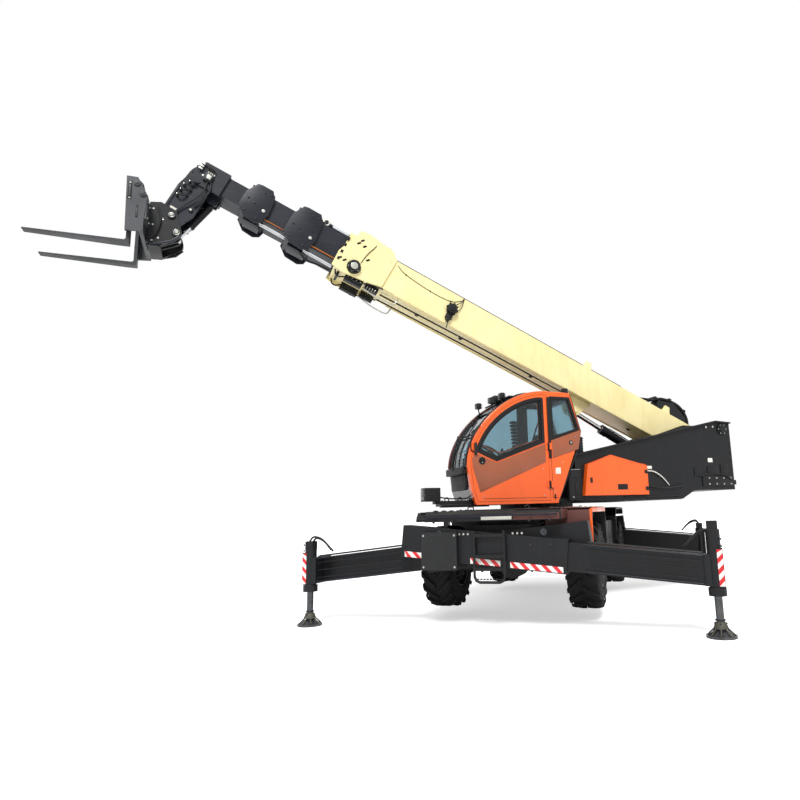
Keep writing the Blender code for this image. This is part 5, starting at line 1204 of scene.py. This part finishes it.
# Louvres, handles and latches of the engine housing, with its exhaust.
def engineDetails():
    part = bmesh.new()
    y = -1.14
    for bay in range(3):
        x0 = -2.0 + bay * 0.95
        for k in range(9):
            block(part, (x0, x0 + 0.70), (y - 0.004, y + 0.004), (1.80 + 0.042 * k, 1.822 + 0.042 * k),
                1, 0.002)
        block(part, (x0 + 0.28, x0 + 0.42), (y - 0.010, y), (2.185, 2.205), 1, 0.004)
    for x in (-2.1, -1.15, -0.2, 0.75):
        pipe(part, [(x, y - 0.001, 1.68), (x, y - 0.001, 2.25)], 0.004, 1, 6, 1)
    for x in (0.985,):
        for k in range(8):
            block(part, (x + 0.012, x + 0.020), (-1.05, -0.50), (1.76 + 0.05 * k, 1.785 + 0.05 * k), 1,
                0.002)
    barrel(part, (-2.25, -0.62, 2.02), (-2.25, -0.62, 2.24), 0.045, 2, 24)
    return finishPiece("engine_housing_details", part, turretFrame, "turret",
        ["orangeEnamel", "blackEnamel", "castIron"])


def lidDetails():
    part = bmesh.new()
    z = 2.285
    for x in (-1.9, -0.75, 0.4):
        block(part, (x - 0.30, x + 0.30), (-1.02, -0.58), (z - 0.002, z + 0.010), 0, 0.006)
        for k in range(7):
            block(part, (x - 0.26, x + 0.26), (-0.98 + 0.055 * k, -0.955 + 0.055 * k),
                (z + 0.008, z + 0.014), 1, 0.002)
        block(part, (x - 0.06, x + 0.06), (-1.145, -1.135), (z - 0.022, z - 0.004), 1, 0.003)
    for x in (-2.2, -0.8, 0.7):
        barrel(part, (x - 0.06, -0.432, z - 0.006), (x + 0.06, -0.432, z - 0.006), 0.012, 1, 16)
    return finishPiece("engine_lid_details", part, turretFrame, "engine_lid",
        ["orangeEnamel", "blackEnamel"])


# Vent, latch, crease and hinges of the orange service cover.
def coverDetails():
    part = bmesh.new()
    y = 1.25
    for k in range(4):
        block(part, (-1.00 + 0.004 * k, -0.84 - 0.004 * k), (y - 0.002, y + 0.003),
            (1.775 + 0.019 * k, 1.787 + 0.019 * k), 1, 0.001)
    block(part, (-1.015, -0.825), (y - 0.001, y + 0.002), (1.765, 1.855), 2, 0.001)
    pipe(part, [(-0.84, y + 0.001, 2.14), (-1.10, y + 0.001, 2.195), (-1.40, y + 0.001, 2.165)], 0.0035,
        0, 8, 3)
    plate(part, [(-0.74, 2.285), (-0.68, 2.28), (-0.68, 2.305), (-0.74, 2.31)], (y - 0.03, y + 0.001), 0,
        0.001)
    frameStrip(part, [(-1.418, 1.683), (-0.213, 1.683), (-0.292, 2.168), (-0.73, 2.317), (-1.418, 2.148)],
               drawnIn([(-1.418, 1.683), (-0.213, 1.683), (-0.292, 2.168), (-0.73, 2.317),
                   (-1.418, 2.148)], 0.010),
               (y - 0.001, y + 0.003), 0)
    for z in (1.78, 2.05):
        block(part, (-1.415, -1.36), (y - 0.001, y + 0.008), (z - 0.03, z + 0.03), 2, 0.004)
    block(part, (-0.36, -0.32), (y - 0.001, y + 0.010), (1.88, 1.96), 2, 0.004)
    return finishPiece("side_cover_details", part, turretFrame, "side_cover",
        ["orangeEnamel", "sealRubber", "grainedPlastic"])


def batteryDetails():
    part = bmesh.new()
    y = 1.22
    plate(part, [(-0.18, 1.95), (0.045, 1.95), (-0.02, 2.10), (-0.16, 2.105)], (1.165, y - 0.002), 0, 0.01)
    frameStrip(part, [(-0.165, 1.64), (0.035, 1.64), (0.035, 1.93), (-0.165, 1.93)],
               drawnIn([(-0.165, 1.64), (0.035, 1.64), (0.035, 1.93), (-0.165, 1.93)],
                   0.012), (y - 0.001, y + 0.006), 0)
    plate(part, [(-0.14, 1.70), (-0.06, 1.70), (-0.06, 1.88), (-0.10, 1.88), (-0.10, 1.84), (-0.14, 1.84)],
          (y, y + 0.008), 0, 0.003)
    pipe(part, [(-0.16, y + 0.002, 2.09), (0.0, y + 0.002, 2.085)], 0.004, 1, 8, 1)
    bolt(part, (-0.02, y, 1.66), (0, 1, 0), 0.012, 1)
    return finishPiece("battery_box_details", part, turretFrame, "turret", ["grainedPlastic", "zincPlate"])


tailDetails()
turretDeck()
engineDetails()
lidDetails()
coverDetails()
batteryDetails()
print("turret dressed")


wheelLook = {"outer": 0.583, "carcass": 0.545, "width": 0.222, "rim": 0.285, "lugs": 17}


# A tyre with bulged walls and slanted tread bars on a dished, bolted rim.
def wheelPiece(corner):
    joint = joints["spin_" + corner]
    axis = Vector(joint["axis"]).normalized()
    outward = 1 if (Vector(joint["pos_m"]) - slewPoint).dot(axis) > 0 else -1
    where = frameAt(joint["pos_m"], axis * outward, (0, 0, 1))
    part = bmesh.new()
    width, carcass, rim = wheelLook["width"], wheelLook["carcass"], wheelLook["rim"]
    wall = [(-width + 0.035, rim + 0.004), (-width + 0.010, rim + 0.03), (-width + 0.002, rim + 0.10),
        (-width + 0.004, rim + 0.17),
            (-width + 0.022, carcass - 0.035), (-width + 0.055, carcass - 0.008), (-0.09, carcass), (0,
                carcass + 0.002)]
    profile = wall + [(-x, r) for x, r in reversed(wall[:-1])]
    turned(part, profile, 0, 72)
    for k in range(3):
        for side in (1, -1):
            torus(part, (side * (width - 0.006 + 0.001 * k), 0, 0), (1, 0, 0), rim + 0.055 + 0.045 * k,
                0.0035, 0, 72, 6)
    count = wheelLook["lugs"]
    for k in range(count * 2):
        side = 1 if k % 2 else -1
        a = math.pi * k / count
        treadBar(part, a, side)
    dish = [(width - 0.045, rim + 0.010), (width - 0.012, rim + 0.012), (width - 0.006, rim + 0.002),
        (width - 0.012, rim - 0.012),
            (width - 0.05, rim - 0.022), (width - 0.085, rim - 0.055), (width - 0.095,
                0.19), (width - 0.085, 0.165), (width - 0.088, 0.11)]
    turned(part, dish, 1, 64)
    back = [(-x, r) for x, r in dish]
    turned(part, list(reversed(back)), 1, 64)
    hub = [(width - 0.09, 0.125), (width - 0.045, 0.12), (width - 0.035, 0.10), (width - 0.012, 0.085),
        (width - 0.006, 0.06), (width - 0.004, 0.0)]
    turned(part, hub, 1, 48)
    for k in range(10):
        a = 2 * math.pi * k / 10
        at = (width - 0.096, 0.148 * math.cos(a), 0.148 * math.sin(a))
        bolt(part, at, (1, 0, 0), 0.016, 2)
        barrel(part, at, (at[0] + 0.038, at[1], at[2]), 0.008, 2, 12)
    for k in range(8):
        a = 2 * math.pi * k / 8
        bolt(part, (width - 0.022, 0.083 * math.cos(a), 0.083 * math.sin(a)), (1, 0, 0), 0.009, 2)
    pipe(part, [(width - 0.03, 0, rim - 0.03), (width - 0.005, 0.01, rim - 0.035)], 0.005, 2, 8, 2)
    return finishPiece("tyre_and_rim_" + corner, part, where, "wheel_" + corner,
                       ["tyreRubber", "rimEnamel", "castIron"], ["wheel_" + corner])


# Turns a profile of (x, radius) points about the x axis.
def turned(part, profile, slot, sides):
    rings = []
    for x, radius in profile:
        if radius < 1e-6:
            rings.append([part.verts.new((x, 0, 0))])
            continue
        rings.append([part.verts.new((x, radius * math.cos(2 * math.pi * k / sides),
            radius * math.sin(2 * math.pi * k / sides)))
                      for k in range(sides)])
    for ring, following in zip(rings, rings[1:]):
        for k in range(sides):
            n = (k + 1) % sides
            if len(following) == 1:
                face = part.faces.new((ring[k], ring[n], following[0]))
            else:
                face = part.faces.new((ring[k], ring[n], following[n], following[k]))
            face.material_index = slot
            face.smooth = True


# One slanted bar from the tyre's middle to its shoulder and a little down the wall.
def treadBar(part, angle, side):
    outer, carcass = wheelLook["outer"], wheelLook["carcass"]
    path = [(0.012, 0.0, outer), (0.075, 0.10, outer), (0.150, 0.22, outer - 0.003),
        (0.205, 0.31, outer - 0.018),
            (0.219, 0.335, outer - 0.050), (0.217, 0.345, outer - 0.090)]
    rows = []
    for x, turn, top in path:
        foot = min(carcass - 0.012, top - 0.015) if x < 0.21 else top - 0.01
        spread = 0.042 if x < 0.1 else 0.050
        low = 0.056 if x < 0.1 else 0.062
        row = []
        for radius, shift, inset in ((foot, -low, 0.010), (top, -spread, 0), (top, spread, 0),
                (foot, low, 0.010)):
            a = angle + turn + shift
            reach = x - (inset if x > 0.2 else 0)
            row.append(part.verts.new((side * reach, radius * math.cos(a), radius * math.sin(a))))
        rows.append(row)
    faces = []
    for row, following in zip(rows, rows[1:]):
        for k in range(3):
            faces.append(part.faces.new((row[k], row[k + 1], following[k + 1], following[k])))
    faces.append(part.faces.new(rows[0]))
    faces.append(part.faces.new(rows[-1]))
    for face in faces:
        face.material_index = 0


for corner in corners:
    wheelPiece(corner)
print("wheels made")


chassisLook = {"deck": 1.50, "end": 2.79}


# Deck bolts, hatches, ladder grips, slewing ring bolts, tank straps and box details.
def undercarriageDetails():
    part = bmesh.new()
    deck, end = chassisLook["deck"], chassisLook["end"]
    for way in (1, -1):
        for x in (2.05, 2.35, 2.66):
            for side in (1, -1):
                at = (way * x, side * 0.80, deck)
                torus(part, (at[0], at[1], deck + 0.006), (0, 0, 1), 0.032, 0.006, 0, 24, 6)
                bolt(part, (at[0], at[1], deck), (0, 0, 1), 0.018, 1)
        block(part, sorted((way * 2.10, way * 2.62)), (-0.52, 0.52), (deck, deck + 0.010), 0, 0.02)
        for side in (1, -1):
            pipe(part, [(way * 2.25, side * 0.40, deck + 0.008), (way * 2.25, side * 0.40, deck + 0.045),
                        (way * 2.47, side * 0.40, deck + 0.045), (way * 2.47, side * 0.40,
                            deck + 0.008)], 0.008, 0, 10, 2)
        for x in (2.14, 2.36, 2.58):
            for side in (1, -1):
                bolt(part, (way * x, side * 0.47, deck + 0.010), (0, 0, 1), 0.012, 1)
        for y in (-0.78, -0.52, 0.52, 0.78):
            for z in (1.05, 1.36):
                bolt(part, (way * end, y, z), (way, 0, 0), 0.016, 1)
        block(part, sorted((way * (end - 0.001), way * (end + 0.006))), (-0.88, 0.88), (1.415, 1.44), 0,
            0.002)
    for k in range(36):
        a = math.pi * k / 18
        bolt(part, (0.62 * math.cos(a), 0.62 * math.sin(a), 1.51), (0, 0, 1), 0.013, 1)
    for side in (1, -1):
        y = side * 1.18
        for x in (-0.60, -0.20, 0.20, 0.60):
            block(part, (x - 0.018, x + 0.018), sorted((y - side * 0.002, y + side * 0.006)),
                (0.89, 1.275), 0, 0.002)
        block(part, (-0.50, 0.50), sorted((y, y + side * 0.005)), (0.95, 0.965), 0, 0.002)
        barrel(part, (0.45, side * 0.85, 1.28), (0.45, side * 0.85, 1.325), 0.055, 0, 28, bevelBy=0.008)
        pipe(part, [(-0.75, side * 1.02, 1.30), (-0.2, side * 1.05, 1.325), (0.3, side * 1.02, 1.31),
            (0.74, side * 0.98, 1.31)], 0.016, 2)
        for k in range(4):
            z = 1.02 + 0.05 * k
            pipe(part, [(0.85, side * 0.40, z + 0.2), (1.3, side * (0.46 + 0.02 * k), z + 0.16),
                (1.75, side * 0.42, z + 0.12), (2.02, side * 0.36, z)], 0.014, 2)
            pipe(part, [(-0.85, side * 0.40, z + 0.2), (-1.3, side * (0.46 + 0.02 * k), z + 0.16),
                (-1.75, side * 0.42, z + 0.12), (-2.02, side * 0.36, z)], 0.014, 2)
    return finishPiece("undercarriage_details", part, chassisFrame, "chassis",
                       ["navyEnamel", "castIron", "hoseRubber"])


# Striped tape, lamps and hose ends on the two outrigger housings.
def endBoards():
    part = bmesh.new()
    end = chassisLook["end"]
    for way in (1, -1):
        face = way * (end + 0.0005)
        for first, last in ((0.92, 0.25), (0.12, -0.28), (-0.96, -1.20)):  # along the drooping lower edge
            heights = [0.735 + 0.1016 * (1.0 - y) for y in (first, last)]
            hazardTape(part, (face, way * first, heights[0]), (face, way * last, heights[1]),
                (0, 0, 0.072), (way, 0, 0), 0.07, 0, 1)
        for side in (1, -1):
            barrel(part, (way * (end - 0.002), side * 0.70, 1.21),
                (way * (end + 0.022), side * 0.70, 1.21), 0.045, 2, 28, bevelBy=0.004)
            barrel(part, (way * (end + 0.018), side * 0.70, 1.21),
                (way * (end + 0.027), side * 0.70, 1.21), 0.037, 0 if way < 0 else 3, 28)
            for k in range(3):
                barrel(part, (way * end, side * (0.30 + 0.06 * k), 1.20),
                    (way * (end + 0.02), side * (0.30 + 0.06 * k), 1.20), 0.014, 4, 12)
    for k in range(5):  # moulded rings of the spreader mat
        torus(part, (end + 0.0755, -0.686, 0.99), (1, 0, 0), 0.035 + 0.042 * k, 0.004, 5, 56, 6)
    for y in (-0.90, -0.47):
        for z in (0.79, 1.19):
            bolt(part, (end + 0.074, y, z), (1, 0, 0), 0.012, 4)
    return finishPiece("end_boards", part, chassisFrame, "chassis",
                       ["reflectiveRed", "reflectiveWhite", "navyEnamel", "lampGlass", "zincPlate",
                           "castIron"])


# Grips and clips on the ladder's treads.
def ladderDetails():
    part = bmesh.new()
    low, high = (corner.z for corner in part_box("front_ladder"))
    x = 2.84
    for k in range(3):
        z = low + 0.05 + (high - low - 0.12) * k / 2
        for n in range(9):
            block(part, (x - 0.02, x + 0.02), (-0.175 + 0.042 * n, -0.155 + 0.042 * n), (z, z + 0.012),
                0, 0.002)
    return finishPiece("ladder_grips", part, chassisFrame, "chassis", ["castIron"])


# A dark red-brown cover on one fender, painted shade standing for its orange top in shade, with an orange
# edge, and rivets and mats on the others.
def bodyworkDetails():
    part = bmesh.new()
    top = 1.49
    # painted shade: a red-brown sheet over the orange fender top
    block(part, (0.86, 2.25), (0.56, 1.235), (top - 0.001, top + 0.016), 0, 0.014)
    block(part, (0.84, 2.27), (1.237, 1.252), (top - 0.055, top + 0.010), 1, 0.006)
    for x in (1.0, 1.55, 2.1):
        for y in (0.66, 1.14):
            bolt(part, (x, y, top + 0.015), (0, 0, 1), 0.012, 2)
    block(part, (1.32, 1.78), (0.78, 0.94), (top + 0.014, top + 0.026), 0, 0.006)
    block(part, (1.36, 1.74), (0.80, 0.92), (top + 0.0255, top + 0.027), 3, 0.0005)
    # thin sheets in the same painted-shade red on nearby faces
    block(part, (2.758, 2.763), (0.30, 0.90), (1.368, 1.445), 0, 0.002)
    block(part, (1.97, 2.70), (0.30, 0.90), (1.499, 1.504), 0, 0.002)
    block(part, (1.97, 2.74), (0.918, 0.923), (1.368, 1.485), 0, 0.002)
    block(part, (2.2955, 2.299), (0.62, 1.235), (1.10, 1.47), 0, 0.002)
    block(part, (2.2955, 2.301), (1.215, 1.248), (1.00, 1.48), 1, 0.002)
    block(part, (2.7595, 2.762), (-0.13, 0.28), (1.375, 1.440), 3, 0.001)
    for xs, side in (((0.86, 2.25), -1), ((-2.25, -0.86), 1), ((-2.25, -0.86), -1)):
        block(part, xs, sorted((side * 0.58, side * 1.20)), (top - 0.001, top + 0.006), 4, 0.01)
        for k in range(9):
            for n in range(5):
                x = xs[0] + 0.12 + 0.144 * k
                y = side * (0.66 + 0.12 * n)
                block(part, (x - 0.028, x + 0.028), (y - 0.005, y + 0.005), (top + 0.004, top + 0.010),
                    4, 0.002,
                      Matrix.Rotation(math.radians(45 if (k + n) % 2 else -45), 4, "Z"))
    return finishPiece("bodywork_details", part, chassisFrame, "chassis",
                       ["paintedShadeRed", "orangeEnamel", "zincPlate", "blankLabel", "galvanisedFoot"])


# Bolts, ribs and brake hoses on an axle, which is part of the chassis.
def axleDetails(name):
    part = bmesh.new()
    way = 1 if name == "front" else -1
    centre = way * 1.595
    level = joints["spin_" + name + "_left"]["pos_m"][2]
    for k in range(12):
        a = math.pi * k / 6
        bolt(part, (centre + way * 0.0 + 0.15 * math.cos(a), 0.0, level + 0.15 * math.sin(a)), (0, 1, 0),
            0.014, 0)
    for side in (1, -1):
        pipe(part, [(centre - way * 0.06, side * 0.15, level + 0.12),
            (centre - way * 0.08, side * 0.45, level + 0.13),
                    (centre - way * 0.05, side * 0.72, level + 0.16)], 0.012, 1)
        for y in (0.25, 0.5):
            torus(part, (centre, side * y, level), (0, 1, 0), 0.095, 0.010, 0, 28, 8)
    return finishPiece("axle_details_" + name, part, chassisFrame, "chassis", ["castIron", "hoseRubber"])


# Kingpin caps, bolts and a brake hose on a steering knuckle.
def knuckleDetails(corner):
    part = bmesh.new()
    joint = joints["steer_" + corner]
    spin = joints["spin_" + corner]
    side = 1 if "left" in corner else -1
    where = frameAt(joint["pos_m"], wheelAxis.cross((0, 0, 1)), wheelAxis)
    level = spin["pos_m"][2] - joint["pos_m"][2]
    for up in (1, -1):
        z = level + up * 0.17
        barrel(part, (0, 0, z), (0, 0, z + up * 0.018), 0.045, 0, 24, bevelBy=0.004)
        for k in range(4):
            a = math.pi * (k + 0.5) / 2
            bolt(part, (0.033 * math.cos(a), 0.033 * math.sin(a), z + up * 0.017), (0, 0, up), 0.007, 0)
    pipe(part, [(0.05, -side * 0.03, level + 0.12), (0.10, side * 0.02, level + 0.07),
        (0.08, side * 0.05, level)], 0.010, 1)
    return finishPiece("knuckle_details_" + corner, part, where, "knuckle_" + corner,
        ["castIron", "hoseRubber"])


undercarriageDetails()
endBoards()
ladderDetails()
bodyworkDetails()
for end in ("front", "rear"):
    axleDetails(end)
for corner in corners:
    knuckleDetails(corner)
print("undercarriage dressed")


jackLook = {"foot": 0.17}


# Wear strips, hose chain, striped jack board and head bolts of one outrigger beam.
def beamDetails(corner):
    part = bmesh.new()
    beam = joints["beam_" + corner]
    outward = Vector(beam["axis"]).normalized()
    way = 1 if "front" in corner else -1
    ahead = wheelAxis.cross((0, 0, 1)) * way
    foot = sum(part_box("jack_" + corner), Vector()) / 2
    flat = Vector((outward.x, outward.y, 0)).normalized()
    where = frameAt((foot.x, foot.y, 0), ahead, flat)
    up = where.to_3x3().col[2].z
    droop = -outward.z / flat.dot(outward)

    def at(x, y, z):
        return (x, y, z * up)

    def line(x, y0, y1, z, radius, slot):
        pipe(part, [at(x, y0, z - droop * y0), at(x, y1, z - droop * y1)], radius, slot, 8, 1)

    middle = 0.745
    for face in (1, -1):
        x = face * 0.086
        for offset in (-0.10, 0.0, 0.10):
            line(x, -1.45, -0.16, middle + offset - 0.012, 0.0035, 1)
        line(x, -1.50, -0.14, middle + 0.150, 0.006, 0)
        line(x, -1.50, -0.14, middle - 0.165, 0.006, 0)
    line(-0.03, -1.45, -0.13, middle + 0.178, 0.012, 2)
    line(0.02, -1.45, -0.13, middle + 0.176, 0.010, 2)
    hazardTape(part, at(0, 0.0902, 0.56), at(0, 0.0902, 0.98), (0.140, 0, 0), (0, 1, 0), 0.07, 3, 4)
    block(part, (0.060, 0.078), (0.022, 0.0895), (0.56 * up, 0.98 * up), 0, 0.002)
    hazardTape(part, at(0.0783, 0.056, 0.565), at(0.0783, 0.056, 0.975), (0, 0.062, 0), (1, 0, 0), 0.062,
        3, 4)
    for x in (-0.05, 0.05):
        for z in (1.01, 1.09):
            bolt(part, at(x, 0.08, z), (0, 1, 0), 0.012, 5)
    pipe(part, [at(0.05, 0, 1.13), at(0.03, -0.06, 1.20), at(0.0, -0.18, 1.16), at(0, -0.32, 1.02)],
        0.014, 2)
    pipe(part, [at(-0.05, 0, 1.13), at(-0.03, -0.07, 1.18), at(-0.02, -0.20, 1.13),
        at(-0.02, -0.34, 1.00)], 0.014, 2)
    for k in range(6):
        a = math.pi * k / 3
        bolt(part, at(0.052 * math.cos(a), 0.052 * math.sin(a), 1.135), (0, 0, up), 0.009, 5)
    return finishPiece("beam_details_" + corner, part, where, "beam_" + corner,
                       ["navyEnamel", "sealRubber", "hoseRubber", "reflectiveRed", "reflectiveWhite",
                           "castIron"])


# The cast foot's ribs, ball cap and pins on one jack.
def jackDetails(corner):
    part = bmesh.new()
    foot = sum(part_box("jack_" + corner), Vector()) / 2
    where = Matrix.Translation((foot.x, foot.y, 0))
    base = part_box("jack_" + corner)[0].z
    radius = jackLook["foot"]
    torus(part, (0, 0, base + 0.012), (0, 0, 1), radius - 0.008, 0.008, 0, 48, 8)
    barrel(part, (0, 0, base + 0.10), (0, 0, base + 0.17), 0.085, 0, 32, 0.06, 0.008)
    for k in range(8):
        a = math.pi * k / 4
        pipe(part, [(0.07 * math.cos(a), 0.07 * math.sin(a), base + 0.105),
            ((radius - 0.02) * math.cos(a), (radius - 0.02) * math.sin(a), base + 0.030)], 0.008, 0, 8, 1)
    for k in range(4):
        a = math.pi * (k + 0.5) / 2
        bolt(part, (0.066 * math.cos(a), 0.066 * math.sin(a), base + 0.155),
            (math.cos(a), math.sin(a), 0.3), 0.009, 1)
    torus(part, (0, 0, base + 0.19), (0, 0, 1), 0.052, 0.008, 2, 32, 8)
    return finishPiece("jack_details_" + corner, part, where, "jack_" + corner,
        ["galvanisedFoot", "castIron", "sealRubber"])


for corner in corners:
    beamDetails(corner)
    jackDetails(corner)
print("outriggers dressed")


# The studio: pale floor, even sky, one soft sun and the camera.
def makeStage():
    bpy.ops.mesh.primitive_plane_add(size=400)
    floor = bpy.context.object
    floor.name = "studio_floor"
    material, tree, shader = newMaterial("floorPaper")  # pale seamless paper that reads white
    shader.inputs["Base Color"].default_value = linear("#FFFFFF")
    shader.inputs["Roughness"].default_value = 0.95
    shader.inputs["Specular IOR Level"].default_value = 0.0
    path = addNode(tree, "ShaderNodeLightPath")
    seen = addNode(tree, "ShaderNodeMath", {"operation": "MAXIMUM"},
                   {0: path.outputs["Is Camera Ray"], 1: path.outputs["Is Transmission Ray"]})
    lift = addNode(tree, "ShaderNodeMath", {"operation": "MULTIPLY", 1: 0.5}, {0: seen.outputs[0]})
    shader.inputs["Emission Color"].default_value = (1, 1, 1, 1)
    tree.links.new(lift.outputs[0], shader.inputs["Emission Strength"])
    floor.data.materials.append(material)
    world = bpy.data.worlds.new("studioWorld")
    bpy.context.scene.world = world
    world.use_nodes = True
    sky = world.node_tree
    path = addNode(sky, "ShaderNodeLightPath")
    first = addNode(sky, "ShaderNodeMath", {"operation": "MAXIMUM"},
                    {0: path.outputs["Is Camera Ray"], 1: path.outputs["Is Glossy Ray"]})
    shown = addNode(sky, "ShaderNodeMath", {"operation": "MAXIMUM"},
        {0: first.outputs[0], 1: path.outputs["Is Transmission Ray"]})
    level = addNode(sky, "ShaderNodeMapRange", {"To Min": 0.55, "To Max": 1.0}, {"Value": shown.outputs[0]})
    sky.nodes["Background"].inputs["Color"].default_value = (1, 1, 1, 1)
    sky.links.new(level.outputs[0], sky.nodes["Background"].inputs["Strength"])
    lamp = bpy.data.lights.new("sun", "SUN")
    lamp.energy = 2.9
    lamp.angle = math.radians(18)
    sun = bpy.data.objects.new("sun", lamp)
    bpy.context.scene.collection.objects.link(sun)
    sun.rotation_euler = Vector((4, 10, -12)).to_track_quat("-Z", "Y").to_euler()


# The camera stands low on the cab's side, ahead of the machine.
def makeCamera():
    look = {"place": (-3.171, -9.589, 1.471), "yaw": 22.504, "pitch": 10.341, "roll": -1.709,
        "lens": 27.74, "shift": -0.1}
    yaw, pitch, roll = (math.radians(look[k]) for k in ("yaw", "pitch", "roll"))
    ahead = Vector((math.sin(yaw) * math.cos(pitch), math.cos(yaw) * math.cos(pitch), math.sin(pitch)))
    right = Vector((math.cos(yaw), -math.sin(yaw), 0))
    up = right.cross(ahead)
    rolledRight = right * math.cos(roll) + up * math.sin(roll)
    camera = bpy.data.objects.new("camera", bpy.data.cameras.new("camera"))
    bpy.context.scene.collection.objects.link(camera)
    turn = Matrix((rolledRight, rolledRight.cross(ahead), -ahead)).transposed()
    camera.matrix_world = Matrix.Translation(look["place"]) @ turn.to_4x4()
    camera.data.lens = look["lens"]
    camera.data.shift_x = look["shift"]
    bpy.context.scene.camera = camera
    bpy.context.scene.view_settings.view_transform = "Standard"


makeStage()
makeCamera()
print("stage, lamps and camera are set")
